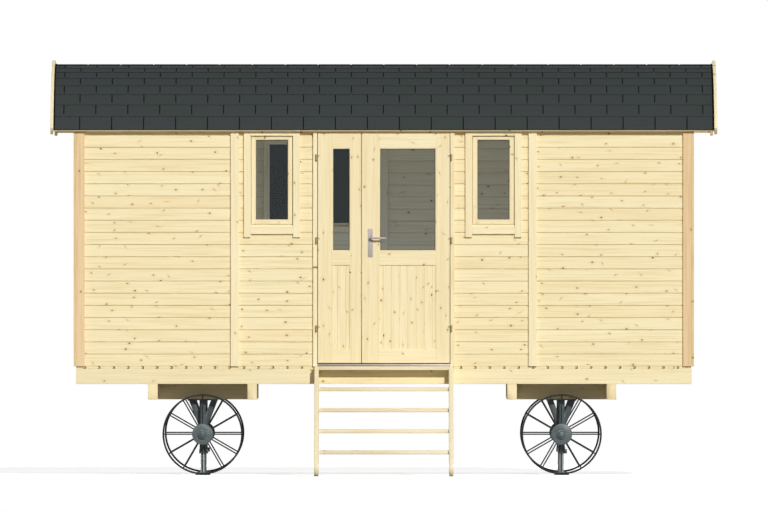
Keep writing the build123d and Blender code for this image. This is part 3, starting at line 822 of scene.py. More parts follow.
def mark_grain(piece: Object, straighten: Callable[[np.ndarray], np.ndarray] | None = None) -> Object:
    """Leave each board's place, tone and ends on a timber piece for its finish to read.

    The grain runs along the longest side of each loose part.

    Args:
        piece: The finished piece.
        straighten: Lays a bent piece's points out straight, where it has a bend.

    Returns:
        The same piece.
    """
    mesh = piece.data
    points = corner_points(mesh)
    if straighten:
        points = straighten(points)
    marks = island_marks(mesh)
    draw = random.Random(piece.name)
    grain = np.zeros((len(points), 3), np.float32)
    tone = np.zeros(len(points), np.float32)
    for mark in np.unique(marks):
        part = marks == mark
        own = points[part]
        order = np.argsort(-(own.max(0) - own.min(0)))
        shift = np.array([draw.uniform(0, 60) for _ in range(3)])
        grain[part] = own[:, order] - own[:, order].min(0) + shift
        tone[part] = draw.random()
    mesh.attributes.new("grain", "FLOAT_VECTOR", "POINT").data.foreach_set("vector", grain.ravel())
    leave_mark(mesh, "tone", "POINT", tone)
    longs = [grain[list(face.vertices), 0] for face in mesh.polygons]
    leave_mark(mesh, "end", "FACE", [float(long.max() - long.min() < END_REACH) for long in longs])
    return piece


def settle(piece: Object, body: str, slot: str, *nodes: str) -> Object:
    """Let a finished piece ride on its body and stand for CAD nodes.

    Args:
        piece: The piece.
        body: The CAD body that carries it.
        slot: The record's material slot; not used.
        nodes: The CAD nodes it stands for.

    Returns:
        The same piece.
    """
    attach(piece, body)
    if nodes:
        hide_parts(*nodes)
    LOG.info("%s: %d faces on %s", piece.name, len(piece.data.polygons), body)
    return piece


def copies_on(sheet: Sheet, given: dict[str, Value], feeds: Feeds) -> NodeTree:
    """End a tree: copy the geometry onto points, make the copies real and give them their finish.

    Args:
        sheet: The sheet on the tree.
        given: What the tree takes.
        feeds: The points, and how each copy is turned and stretched.

    Returns:
        The whole tree.
    """
    copies = sheet.value("GeometryNodeInstanceOnPoints", {"Instance": given["Geometry"], **feeds})
    real = sheet.value("GeometryNodeRealizeInstances", {"Geometry": copies})
    dressed = sheet.value("GeometryNodeSetMaterial", {"Geometry": real, "Material": given["Finish"]})
    sheet.add("NodeGroupOutput", {"Geometry": dressed})
    return sheet.tree


def row_tree() -> NodeTree:
    """Build the tree that repeats a piece in a straight or turning row.

    Returns:
        A geometry tree with inputs for the count, the step, the turn and a small random shift.
    """
    takes = {"Geometry": "Geometry", "Count": "Int", "Seed": "Int", "Finish": "Material"}
    takes |= dict.fromkeys(("Start", "Step", "First Turn", "Turn", "Shift"), "Vector")
    sheet, given = new_tree("row_of_boards", "Geometry", takes, {"Geometry": "Geometry"})
    feeds = {"Count": given["Count"], "Start Location": given["Start"], "Offset": given["Step"]}
    line = sheet.value("GeometryNodeMeshLine", feeds, mode="OFFSET")
    feeds = {"Min": (-1, -1, -1), "Max": (1, 1, 1), "Seed": given["Seed"]}
    chance = sheet.value("FunctionNodeRandomValue", feeds, data_type="FLOAT_VECTOR")
    shift = sheet.value("ShaderNodeVectorMath", {0: chance, 1: given["Shift"]}, operation="MULTIPLY")
    index = sheet.value("GeometryNodeInputIndex")
    feeds = {0: given["Turn"], 1: sheet.vector(index, index, index), 2: given["First Turn"]}
    turned = sheet.value("ShaderNodeVectorMath", feeds, operation="MULTIPLY_ADD")
    feeds = {
        "Points": sheet.value("GeometryNodeSetPosition", {"Geometry": line, "Offset": shift}),
        "Rotation": sheet.value("FunctionNodeEulerToRotation", {"Euler": turned}),
    }
    return copies_on(sheet, given, feeds)


def course_tree() -> NodeTree:
    """Build the tree that lays tabs in staggered courses round a barrel.

    Returns:
        A geometry tree whose inputs give the courses, the tabs, the angles and the slot.
    """
    takes = {"Geometry": "Geometry", "Courses": "Int", "Tabs": "Int", "Axis": "Vector", "Finish": "Material"}
    floats = ("Tab Width", "Slot", "First Edge", "Half Length", "First Angle", "Angle Step", "Least Width")
    takes |= dict.fromkeys(floats, "Float")
    sheet, given = new_tree("shingle_courses", "Geometry", takes, {"Geometry": "Geometry"})
    tabs, tab_width, half_length = given["Tabs"], given["Tab Width"], given["Half Length"]
    feeds = {"Count": given["Courses"] * tabs, "Offset": (0, 0, 0)}
    line = sheet.value("GeometryNodeMeshLine", feeds, mode="OFFSET")
    index = sheet.value("GeometryNodeInputIndex")
    course = sheet.math("FLOOR", (index + 0.5) / tabs)
    column = index - course * tabs
    stagger = sheet.math("MODULO", course, 2.0) * 0.5
    edge = given["First Edge"] + (column - stagger - 1.0) * tab_width
    left = sheet.math("MAXIMUM", edge, half_length * -1.0)
    right = sheet.math("MINIMUM", edge + tab_width, half_length)
    width = right - left - given["Slot"]
    feeds = {0: sheet.vector((left + right) * 0.5, 0.0, 0.0), 1: given["Axis"]}
    place = sheet.value("ShaderNodeVectorMath", feeds, operation="ADD")
    angle = given["First Angle"] + course * given["Angle Step"]
    feeds = {
        "Points": sheet.value("GeometryNodeSetPosition", {"Geometry": line, "Position": place}),
        "Selection": sheet.math("GREATER_THAN", width, given["Least Width"]),
        "Rotation": sheet.value("FunctionNodeEulerToRotation", {"Euler": sheet.vector(angle, 0.0, 0.0)}),
        "Scale": sheet.vector(width / tab_width, 1.0, 1.0),
    }
    return copies_on(sheet, given, feeds)


ROW = row_tree()
COURSES = course_tree()


def grown(piece: Object, tree: NodeTree, finish: Finish, **sizes: object) -> Object:
    """Run a geometry tree on a piece and keep the result as plain mesh.

    Args:
        piece: The piece that is repeated.
        tree: The geometry tree.
        finish: The finish of the copies.
        sizes: The tree's other inputs, by name with underscores for spaces.

    Returns:
        The same piece.
    """
    modifier = piece.modifiers.new("grow", "NODES")
    modifier.node_group = tree
    sockets = {item.name: item for item in tree.interface.items_tree if item.in_out == "INPUT"}
    for name, value in {**sizes, "Finish": material_of(finish)}.items():
        modifier[sockets[name.replace("_", " ")].identifier] = value
    return baked(piece)


@dataclass(frozen=True)
class Layout:
    """Main places of the hut, read from the frame."""

    middle_y: float
    half_length: float
    half_width: float
    floor_z: float
    roof_axis_z: float
    roof_inner: float
    roof_outer: float
    roof_half_length: float
    roof_half_angle: float
    wall_thickness: float

    @classmethod
    def read(cls, roof_inner: float = 1.605, roof_board: float = 0.018) -> Layout:
        """Work the places out from the nodes' boxes.

        Args:
            roof_inner: Radius under the roof boards.
            roof_board: Thickness of the roof boards.

        Returns:
            The layout.
        """
        floor_low, floor_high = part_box("floor_boards")
        roof_low, roof_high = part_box("roof_boards")
        wall_low, wall_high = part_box("front_wall_left")
        roof_outer = roof_inner + roof_board
        return cls(
            middle_y=(floor_low.y + floor_high.y) / 2,
            half_length=floor_high.x,
            half_width=(floor_high.y - floor_low.y) / 2,
            floor_z=floor_high.z,
            roof_axis_z=roof_high.z - roof_inner - roof_board,
            roof_inner=roof_inner,
            roof_outer=roof_outer,
            roof_half_length=roof_high.x,
            roof_half_angle=math.asin((roof_high.y - roof_low.y) / 2 / roof_outer),
            wall_thickness=wall_high.y - wall_low.y,
        )

    def face_y(self, side: Side) -> float:
        """Return the place of a long wall's outer face."""
        return self.middle_y + side.value * self.half_width

    def under_roof(self, gap: float = 0.0004, spare: float = 0.1) -> Object:
        """Make a cutter that fills the barrel under the roof boards.

        Args:
            gap: Space left under the boards.
            spare: How far it stands out past each gable.

        Returns:
            The cutter.
        """
        axis = Vector((-self.roof_half_length - spare, self.middle_y, self.roof_axis_z))
        run = Vector((2 * (self.roof_half_length + spare), 0, 0))
        return Joinery().rod(axis, run, self.roof_inner - gap, 360).piece("under_roof", Finish.SPRUCE)


HUT = Layout.read()


def straight_barrel(points: np.ndarray) -> np.ndarray:
    """Lay points round the roof's axis out flat, the arc along the second value.

    Args:
        points: The points, one to a row.

    Returns:
        The points as place along, arc and radius.
    """
    across = points[:, 1] - HUT.middle_y
    up = points[:, 2] - HUT.roof_axis_z
    return np.stack([points[:, 0], np.arctan2(across, up) * HUT.roof_inner, np.hypot(across, up)], axis=1)


def mark_tabs(piece: Object) -> Object:
    """Leave each tab's tone, and the cut edges that the finish paints black (partly bitumen, partly painted
    shade), on the shingles for their finish to read.

    Args:
        piece: The shingles.

    Returns:
        The same piece.
    """
    mesh = piece.data
    marks = island_marks(mesh)
    draw = random.Random(piece.name)
    tones = {mark: draw.random() for mark in np.unique(marks)}
    leave_mark(mesh, "tone", "POINT", [tones[mark] for mark in marks])
    # Faces that don't face outwards are the cut edges, painted near-black as bitumen and as painted shade.
    edges = []
    for face in mesh.polygons:
        out = Vector((0, face.center.y - HUT.middle_y, face.center.z - HUT.roof_axis_z)).normalized()
        edges.append(float(abs(face.normal.dot(out)) < 0.6))
    leave_mark(mesh, "end", "FACE", edges)
    return piece


def joined(parts: Sequence[Object]) -> Object:
    """Join meshes of one finish into the first of them.

    Args:
        parts: The pieces to join.

    Returns:
        The first piece.
    """
    form = bmesh.new()
    for part in parts:
        form.from_mesh(part.data)
    form.to_mesh(parts[0].data)
    form.free()
    for part in parts[1:]:
        bpy.data.objects.remove(part)
    return parts[0]


def islands(node: str) -> list[Box]:
    """Return the box of each loose solid of a CAD node, from left to right.

    Args:
        node: The CAD node.

    Returns:
        Lower and upper corner of each solid.
    """
    mesh = merged(node)
    marks = island_marks(mesh)
    points = corner_points(mesh)
    bpy.data.meshes.remove(mesh)
    parts = [points[marks == mark] for mark in np.unique(marks)]
    boxes = [(Vector(part.min(0)), Vector(part.max(0))) for part in parts]
    return sorted(boxes, key=lambda box: tuple(round(value, 4) for value in box[0]))


@dataclass
class WallBoards:
    """Tongued and grooved boards that clad the four walls."""

    cover: float = 0.09487
    joint_gap: float = 0.0018
    upper_bevel: float = 0.003
    lower_bevel: float = 0.004
    bevel_depth: float = 0.0045
    back_bevel: float = 0.0025
    tongue: float = 0.007
    tongue_low: float = 0.010
    tongue_high: float = 0.017
    slack: float = 0.0010
    lift: float = 0.0004

    def profile(self) -> list[Pair]:
        """Return the section of one board, as depth behind the face and height.

        Returns:
            The section's corners, in order.
        """
        top = self.cover - self.joint_gap
        deep = HUT.wall_thickness
        return [
            (0.0, self.lower_bevel),
            (0.0, top - self.upper_bevel),
            (self.bevel_depth, top),
            (self.tongue_low, top),
            (self.tongue_low, top + self.tongue),
            (self.tongue_high, top + self.tongue),
            (self.tongue_high, top),
            (deep - self.back_bevel, top),
            (deep, top - self.back_bevel),
            (deep, self.back_bevel),
            (deep - self.back_bevel, 0.0),
            (self.tongue_high + self.slack, 0.0),
            (self.tongue_high + self.slack, self.tongue + self.slack),
            (self.tongue_low - self.slack, self.tongue + self.slack),
            (self.tongue_low - self.slack, 0.0),
            (self.bevel_depth, 0.0),
        ]

    def stretch(self, name: str, start: Vector, run: Vector, inward: Vector, top: float, seed: int) -> Object:
        """Stack boards from a start up to a height.

        Args:
            name: The piece's name.
            start: Outer lower corner of the first board.
            run: The way and length of each board.
            inward: Unit vector from the face into the wall.
            top: Height that the boards must reach.
            seed: Seed of the small differences between boards.

        Returns:
            The stacked boards, not yet cut.
        """
        up = Vector((0, 0, 1))
        section = [start + inward * deep + up * high for deep, high in self.profile()]
        board = Joinery().prism(section, run).piece(name, Finish.SPRUCE)
        count = math.ceil((top - start.z) / self.cover)
        step = (0.0, 0.0, self.cover)
        shift = tuple(inward * self.lift)
        return grown(board, ROW, Finish.SPRUCE, Count=count, Step=step, Shift=shift, Seed=seed)

    def cut_and_settle(self, piece: Object, holes: Sequence[Box], node: str) -> None:
        """Cut boards to the roof and round their openings, and settle them.

        Args:
            piece: The stacked boards.
            holes: Openings, each as two corners.
            node: The CAD node.
        """
        carve(piece, HUT.under_roof(), Cut.WITHIN)
        for low, high in holes:
            carve(piece, Joinery().board(low, high).piece("hole", Finish.SPRUCE), Cut.AWAY)
        settle(mark_grain(piece), "hut", "spruce", node)

    def long_wall(self, node: str, side: Side, splits: Sequence[float], holes: list[Box], seed: int) -> None:
        """Clad one node of a long wall in stretches between battens.

        Args:
            node: The CAD node.
            side: The hut's side.
            splits: Places along the wall where boards meet.
            holes: Openings, each as two corners.
            seed: Seed of the first stretch.
        """
        low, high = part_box(node)
        face = HUT.face_y(side)
        inward = Vector((0, -side.value, 0))
        steps = math.floor((low.z - HUT.floor_z) / self.cover + 0.001)
        ends = [low.x, *(place for place in splits if low.x < place < high.x), high.x]
        parts = []
        for index, (left, right) in enumerate(zip(ends, ends[1:])):
            start = Vector((left + JOINT, face, HUT.floor_z + steps * self.cover))
            run = Vector((right - left - 2 * JOINT, 0, 0))
            parts.append(self.stretch(f"{node}_boards", start, run, inward, high.z, seed + index))
        if low.z > HUT.floor_z + 0.01:
            holes = [*holes, ((low.x - 1, face - 0.1, 0), (high.x + 1, face + 0.1, low.z))]
        self.cut_and_settle(joined(parts), holes, node)

    def gable(self, node: str, seed: int) -> None:
        """Clad a gable wall, whose boards run across the hut.

        Args:
            node: The CAD node.
            seed: Seed of the small differences between boards.
        """
        low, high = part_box(node)
        face, inward = (high.x, -1) if low.x > 0 else (low.x, 1)
        start = Vector((face, low.y + JOINT, HUT.floor_z))
        run = Vector((0, high.y - low.y - 2 * JOINT, 0))
        piece = self.stretch(f"{node}_boards", start, run, Vector((inward, 0, 0)), high.z, seed)
        self.cut_and_settle(piece, [], node)

    def build(self) -> None:
        """Clad all the walls, the long ones in stretches that meet behind the rear battens."""
        middles = [(low + high) / 2 for low, high in islands("outside_battens")]
        splits = [middle.x for middle in middles if middle.y > HUT.middle_y]
        frames = Windows().wall_openings()
        for node, seed in (("front_wall_left", 3), ("front_wall_right", 11), ("front_wall_over_door", 19)):
            self.long_wall(node, Side.FRONT, splits, frames[Side.FRONT], seed)
        self.long_wall("rear_wall", Side.REAR, splits, frames[Side.REAR], 27)
        self.gable("gable_wall_left", 41)
        self.gable("gable_wall_right", 53)


@dataclass
class Trims:
    """Corner boards and battens, each a board of its own."""

    thickness: float = 0.019
    width: float = 0.066
    corner_gap: float = 0.0002
    ease: float = 0.0016

    def corner_boards(self) -> None:
        """Build two boards for each corner, the face board beside the end board."""
        low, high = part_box("corner_boards")
        work = Joinery()
        for side, outer_y in ((Side.FRONT, low.y), (Side.REAR, high.y)):
            inner_y = outer_y - side.value * self.thickness
            far_y = outer_y - side.value * self.width
            for outer_x, hand in ((low.x, -1), (high.x, 1)):
                wall_x = outer_x - hand * self.thickness
                work.board((wall_x - hand * self.width, outer_y, low.z), (wall_x, inner_y, high.z))
                work.board((wall_x + hand * self.corner_gap, outer_y, low.z), (outer_x, far_y, high.z))
        piece = carve(work.piece("corner_board_pairs", Finish.CORNER), HUT.under_roof(), Cut.WITHIN)
        settle(mark_grain(eased(piece, self.ease)), "hut", "spruce", "corner_boards")

    def battens(self, node: str, name: str, cutter: Object) -> None:
        """Build the battens of one node, a little long, and cut their tops.

        Args:
            node: The CAD node.
            name: The new piece's name.
            cutter: The solid that they stay within.
        """
        work = Joinery()
        for low, high in islands(node):
            work.board(low, (high.x, high.y, high.z + 0.02))
        piece = eased(carve(work.piece(name, Finish.TRIM), cutter, Cut.WITHIN), self.ease)
        settle(mark_grain(piece), "hut", "spruce", node)

    def build(self) -> None:
        """Build all trims on the walls."""
        self.corner_boards()
        self.battens("outside_battens", "outside_batten_boards", HUT.under_roof())
        lid = Joinery().board((-9, -9, -1), (9, 9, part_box("inside_battens")[1].z))
        self.battens("inside_battens", "inside_batten_boards", lid.piece("lid", Finish.TRIM))
        plates = refined("wall_plate_boards", "wall_plates", Finish.BEAM, self.ease)
        settle(mark_grain(plates), "hut", "spruce", "wall_plates")


@dataclass
class Roof:
    """Barrel roof: ribs, boards, felt, courses of shingles, ridge caps and barge boards."""

    strips: int = 28
    strip_gap: float = 0.0005
    strip_bevel: float = 0.003
    felt: float = 0.0006
    felt_lift: float = 0.0002
    felt_inset: float = 0.0005
    tab_width: float = 0.2493
    tab_thickness: float = 0.0031
    tab_lift: float = 0.0002
    tab_steps: int = 4
    slot: float = 0.008
    first_slot_x: float = -2.372
    least_tab: float = 0.012
    courses: int = 9
    course_degrees: float = 5.1
    lap_degrees: float = 1.3
    cap_degrees: float = 6.1
    cap_slot: float = 0.0004
    cap_inset: float = 0.003
    cap_steps: int = 10
    verge_width: float = 0.011
    verge_height: float = 0.013
    verge_lift: float = 0.001
    barge_width: float = 0.075
    barge_thickness: float = 0.023
    barge_lengths: int = 5
    barge_joint: float = 0.0003
    arc_steps: int = 96

    def strip_boards(self) -> None:
        """Lay the roof boards round the barrel, with grooves underneath."""
        turn = 2 * HUT.roof_half_angle / self.strips
        low, high = HUT.roof_inner, HUT.roof_outer
        half = low * math.tan(turn / 2) - self.strip_gap / 2
        flare = high / low
        corners = [
            (-half + self.strip_bevel, low),
            (half - self.strip_bevel, low),
            (half, low + self.strip_bevel),
            (half * flare, high),
            (-half * flare, high),
            (-half, low + self.strip_bevel),
        ]
        strip = Joinery().drawn(0, corners, -HUT.roof_half_length, HUT.roof_half_length)
        piece = grown(
            strip.piece("roof_board_strips", Finish.SPRUCE),
            ROW,
            Finish.SPRUCE,
            Count=self.strips,
            Start=(0.0, HUT.middle_y, HUT.roof_axis_z),
            First_Turn=(-HUT.roof_half_angle + turn / 2, 0.0, 0.0),
            Turn=(turn, 0.0, 0.0),
        )
        settle(mark_grain(piece, straight_barrel), "hut", "spruce", "roof_boards")

    def arc_places(self, first: float, last: float, steps: int, x: float = 0.0) -> list[Matrix]:
        """Return places round the barrel whose x runs outwards and y along the hut.

        Args:
            first: Angle of the first place.
            last: Angle of the last place.
            steps: Number of steps between.
            x: Where the places lie along the hut.

        Returns:
            The places, in order.
        """
        places = []
        for index in range(steps + 1):
            angle = first + (last - first) * index / steps
            out = Vector((0, math.sin(angle), math.cos(angle)))
            along = Vector((1, 0, 0))
            place = Matrix.Identity(4)
            for column, value in enumerate((out, along, out.cross(along))):
                place.col[column] = (*value, 0)
            place.col[3] = (x, HUT.middle_y, HUT.roof_axis_z, 1)
            places.append(place)
        return places

    def whole_arc(self) -> list[Matrix]:
        """Return places round the barrel from eave to eave."""
        return self.arc_places(-HUT.roof_half_angle, HUT.roof_half_angle, self.arc_steps)

    def bent_tile(self, steps: Sequence[Pair], left: float, right: float) -> Joinery:
        """Make a tile bent round the roof's axis.

        Args:
            steps: Angle and radius of points along its under side.
            left: Its left end.
            right: Its right end.

        Returns:
            The collection that holds the tile.
        """
        rings = []
        for angle, under in steps:
            out = Vector((0, math.sin(angle), math.cos(angle)))
            corners = rectangle(left, right, under, under + self.tab_thickness)
            rings.append([out * radius + Vector((x, 0, 0)) for x, radius in corners])
        return Joinery().skin(rings)

    def tab(self, side: Side) -> Object:
        """Make one tab on top of the barrel, bent to it and lifted at its lower edge.

        Args:
            side: The roof side it runs down.

        Returns:
            The tab, a tab's width long, about the roof's axis.
        """
        base = HUT.roof_outer + self.felt + JOINT
        reach = math.radians(self.course_degrees + self.lap_degrees)
        steps = []
        for index in range(self.tab_steps + 1):
            share = index / self.tab_steps
            steps.append(
                ((reach * share - reach) * side.value, base + (self.tab_thickness + self.tab_lift) * share)
            )
        tile = self.bent_tile(steps, -self.tab_width / 2, self.tab_width / 2)
        return tile.piece(f"shingle_courses_{side.name.lower()}", Finish.SHINGLE)

    def shingles(self) -> None:
        """Lay the courses on both sides."""
        for side in Side:
            courses = grown(
                self.tab(side),
                COURSES,
                Finish.SHINGLE,
                Courses=self.courses,
                Tabs=math.ceil(2 * HUT.roof_half_length / self.tab_width) + 2,
                Tab_Width=self.tab_width,
                Slot=self.slot,
                First_Edge=self.first_slot_x,
                Least_Width=self.least_tab,
                Half_Length=HUT.roof_half_length,
                Axis=(0.0, HUT.middle_y, HUT.roof_axis_z),
                First_Angle=-side.value * HUT.roof_half_angle,
                Angle_Step=side.value * math.radians(self.course_degrees),
            )
            nodes = ["roof_shingles"] if side is Side.FRONT else []
            settle(mark_tabs(courses), "hut", "shingles", *nodes)

    def ridge_caps(self) -> None:
        """Lay caps over the ridge, end to end."""
        base = HUT.roof_outer + self.felt + 2 * self.tab_thickness
        spread = math.radians(self.cap_degrees)
        length = self.tab_width - self.cap_slot
        shares = [index / self.cap_steps for index in range(self.cap_steps + 1)]
        cap = self.bent_tile([(spread * (2 * share - 1), base) for share in shares], 0.0, length)
        count = math.floor(2 * HUT.roof_half_length / self.tab_width)
        caps = grown(
            cap.piece("ridge_caps", Finish.SHINGLE),
            ROW,
            Finish.SHINGLE,
            Count=count,
            Start=(-HUT.roof_half_length + self.cap_inset, HUT.middle_y, HUT.roof_axis_z),
            Step=((2 * (HUT.roof_half_length - self.cap_inset) - length) / (count - 1), 0.0, 0.0),
        )
        settle(mark_tabs(caps), "hut", "shingles")

    def felt_sheet(self) -> None:
        """Lay the dark felt that shows in the slots."""
        inner = HUT.roof_outer + self.felt_lift
        half = HUT.roof_half_length - self.felt_inset
        sheet = Joinery().sweep(rectangle(inner, inner + self.felt, -half, half), self.whole_arc())
        settle(smooth(sheet.piece("felt_sheet", Finish.FELT)), "hut", "shingles")

    def verge_strips(self) -> None:
        """Turn a dark strip up against each barge board."""
        inner = HUT.roof_outer + self.verge_lift
        work = Joinery()
        for edge, hand in ((-HUT.roof_half_length, 1), (HUT.roof_half_length, -1)):
            near, far = edge + hand * JOINT, edge + hand * self.verge_width
            work.sweep(rectangle(inner, inner + self.verge_height, near, far), self.whole_arc())
        settle(smooth(work.piece("verge_strips", Finish.FELT)), "hut", "shingles")

    def barge_boards(self) -> None:
        """Build the two arched boards, each of some lengths butted end to end."""
        low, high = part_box("barge_boards")
        outer = high.z - HUT.roof_axis_z
        reach = math.asin((high.y - low.y) / 2 / outer)
        work = Joinery()
        for x, hand in ((low.x, 1), (high.x, -1)):
            section = rectangle(outer - self.barge_width, outer, 0.0, hand * self.barge_thickness)
            for index in range(self.barge_lengths):
                first = -reach + 2 * reach * index / self.barge_lengths
                last = first + 2 * reach / self.barge_lengths - self.barge_joint
                work.sweep(section, self.arc_places(first, last, 18, x))
        piece = smooth(eased(work.piece("barge_board_lengths", Finish.TRIM), 0.003), 25)
        settle(mark_grain(piece, straight_barrel), "hut", "spruce", "barge_boards")

    def build(self) -> None:
        """Build the roof from the inside out."""
        ribs = refined("arched_ribs", "roof_ribs", Finish.BEAM, 0.002)
        settle(mark_grain(ribs, straight_barrel), "hut", "spruce", "roof_ribs")
        self.strip_boards()
        self.felt_sheet()
        self.shingles()
        self.ridge_caps()
        self.verge_strips()
        self.barge_boards()


@dataclass
class Chassis:
    """Beams, joists and floor boards."""

    ease: float = 0.0025
    board_pitch: float = 0.1128
    first_joint_x: float = -2.334
    lip: float = 0.0010
    board_gap: float = 0.0012
    slot: float = 0.0055
    tongue: float = 0.0075
    tongue_half: float = 0.0026
    groove_half: float = 0.0083
    end_gap: float = 0.0045

    def beams(self) -> None:
        """Build the beams under the floor, each solid a timber of its own."""
        for node in ("cross_beams", "spacer_beams", "floor_long_beams", "floor_end_beams", "floor_joists"):
            piece = refined(f"{node}_timber", node, Finish.BEAM, self.ease)
            settle(mark_grain(piece), "hut", "beam_wood", node)

    def floor(self) -> None:
        """Lay the floor boards, whose tongues and grooves show at the front edge."""
        low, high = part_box("floor_boards")
        wide = self.board_pitch - self.board_gap
        thick = high.z - low.z
        middle = thick / 2
        inner = wide - self.slot
        deep = self.tongue + self.end_gap
        corners = [
            (0.0, 0.0),
            (wide, 0.0),
            (wide, self.lip),
            (inner, self.lip),
            (inner, middle - self.tongue_half),
            (wide + self.tongue, middle - self.tongue_half),
            (wide + self.tongue, middle + self.tongue_half),
            (inner, middle + self.tongue_half),
            (inner, thick - self.lip),
            (wide, thick - self.lip),
            (wide, thick),
            (0.0, thick),
            (0.0, middle + self.groove_half),
            (deep, middle + self.groove_half),
            (deep, middle - self.groove_half),
            (0.0, middle - self.groove_half),
        ]
        start_x = self.first_joint_x - self.board_pitch
        plank = Joinery().drawn(1, [(start_x + x, low.z + z) for x, z in corners], low.y, high.y)
        count = math.ceil((high.x - start_x) / self.board_pitch)
        step = (self.board_pitch, 0.0, 0.0)
        piece = grown(plank.piece("floor_planks", Finish.BEAM), ROW, Finish.BEAM, Count=count, Step=step)
        spare = Vector((0, 0.1, 0.1))
        edge = Joinery().board(low - spare, high + spare)
        carve(piece, edge.piece("floor_edge", Finish.BEAM), Cut.WITHIN)
        settle(mark_grain(piece), "hut", "spruce", "floor_boards")

    def build(self) -> None:
        """Build the whole chassis."""
        self.beams()
        self.floor()


@dataclass
class RunningGear:
    """Wheels, legs and feet with their bolts."""

    ease: float = 0.0009
    hub_radius: float = 0.0835
    plate_thickness: float = 0.008
    bolt_radius: float = 0.009
    bolt_height: float = 0.006
    bolt_ease: float = 0.0008
    bolt_inset: float = 0.016
    bolt_spread: float = 0.044

    def paint_rim_shade(self, wheel: Object) -> None:
        """Paint shade on the spokes and the rim with a darker copy of the wheel's coat.

        Args:
            wheel: The whole wheel.
        """
        wheel.data.materials.append(material_of(Finish.RIM))
        points = corner_points(wheel.data)
        middle = (points.max(0) + points.min(0)) / 2
        away = np.hypot(points[:, 0] - middle[0], points[:, 2] - middle[2])
        for face in wheel.data.polygons:
            face.material_index = int(away[list(face.vertices)].mean() > self.hub_radius)

    def plate_bolts(self, place: str) -> None:
        """Put four bolt heads under a leg's mounting plate, two each side of the braces.

        Args:
            place: front_left, front_right, rear_left or rear_right.
        """
        low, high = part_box(f"leg_{place}")
        middle_x = (low.x + high.x) / 2
        middle_y = sum(corner.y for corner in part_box(f"foot_{place}")) / 2
        half_x, half_y = (high.x - low.x) / 2 - self.bolt_inset, self.bolt_spread / 2
        foot = Vector((0, 0, high.z - self.plate_thickness))
        head = Joinery().rod(foot, Vector((0, 0, -self.bolt_height)), self.bolt_radius, 6)
        piece = head.piece(f"leg_bolts_{place}", Finish.ZINC)
        start = (middle_x - half_x, middle_y - half_y, 0.0)
        grown(piece, ROW, Finish.ZINC, Count=2, Start=start, Step=(2 * half_x, 0.0, 0.0))
        grown(piece, ROW, Finish.ZINC, Count=2, Step=(0.0, self.bolt_spread, 0.0))
        settle(smooth(eased(piece, self.bolt_ease)), "hut", "galvanised_steel")

    def build(self) -> None:
        """Build the gear at the four places."""
        for place in ("front_left", "front_right", "rear_left", "rear_right"):
            wheel, leg, foot = f"wheel_{place}", f"leg_{place}", f"foot_{place}"
            piece = refined(f"spoked_wheel_{place}", wheel, Finish.WHEEL, self.ease)
            # Painted shade on the spokes and the rim.
            self.paint_rim_shade(piece)
            settle(piece, wheel, "wheel_steel", wheel)
            piece = refined(f"braced_leg_{place}", leg, Finish.LEG, self.ease)
            settle(piece, "hut", "leg_steel", leg)
            piece = refined(f"inner_tube_{place}", foot, Finish.ZINC, self.ease)
            settle(piece, foot, "galvanised_steel", foot)
            self.plate_bolts(place)


@dataclass
class Glazing:
    """Beads and dark seals that hold panes, laid face by face; the dark seals also paint the shade in the
    rebate round each pane.
    """

    pane_half: float = 0.0032
    seal_thickness: float = 0.0012
    seal_width: float = 0.0029
    seal_inset: float = 0.003
    splay: float = 0.004
    shoulder: float = 0.35
    beads: Joinery = field(default_factory=Joinery)
    seals: Joinery = field(default_factory=Joinery)

    def hold(self, low: Vector, high: Vector, width: float, start: float, middle: float, way: int) -> None:
        """Lay a bead and a dark seal round a pane on one face; the seal also paints the rebate's shade.

        Args:
            low: Lower corner of the glazed opening.
            high: Upper corner of the glazed opening.
            width: Width of the bead.
            start: Place of the bead's outer face along Y.
            middle: Place of the pane's middle.
            way: Sign of the way from the bead's outer face to the pane.
        """
        pane = middle - way * self.pane_half
        rim = pane - way * self.seal_thickness
        inner = Vector((self.seal_inset, 0, self.seal_inset))
        self.ring(self.beads, low, high, width, (start, rim), self.splay)
        self.ring(self.seals, low + inner, high - inner, self.seal_width, (rim, pane), 0.0)

    def ring(self, work: Joinery, low: Vector, high: Vector, width: float, deep: Pair, splay: float) -> None:
        """Add four mitred strips round an upright opening.

        Args:
            work: The collection they go into.
            low: Lower corner of the opening.
            high: Upper corner of the opening.
            width: Width of the strips outside the opening.
            deep: Places of their outer and inner face.
            splay: How much the opening widens at the outer face.
        """
        near, far = deep
        corners = zip(rectangle(low.x, high.x, low.z, high.z), rectangle(-1, 1, -1, 1))
        rings = [
            [
                Vector((x + side * width, near, z + up * width)),
                Vector((x + side * splay, near, z + up * splay)),
                Vector((x, near + (far - near) * self.shoulder, z)),
                Vector((x, far, z)),
                Vector((x + side * width, far, z + up * width)),
            ]
            for (x, z), (side, up) in corners
        ]
        for first, second in zip(rings, rings[1:] + rings[:1]):
            work.skin([first, second])

    def finish(self, bead_name: str, seal_name: str, body: str) -> None:
        """Settle the beads and the dark seals, which also paint the rebates' shade, on a body."""
        settle(mark_grain(self.beads.piece(bead_name, Finish.DOOR)), body, "spruce")
        settle(self.seals.piece(seal_name, Finish.SEAL), body, "glass")


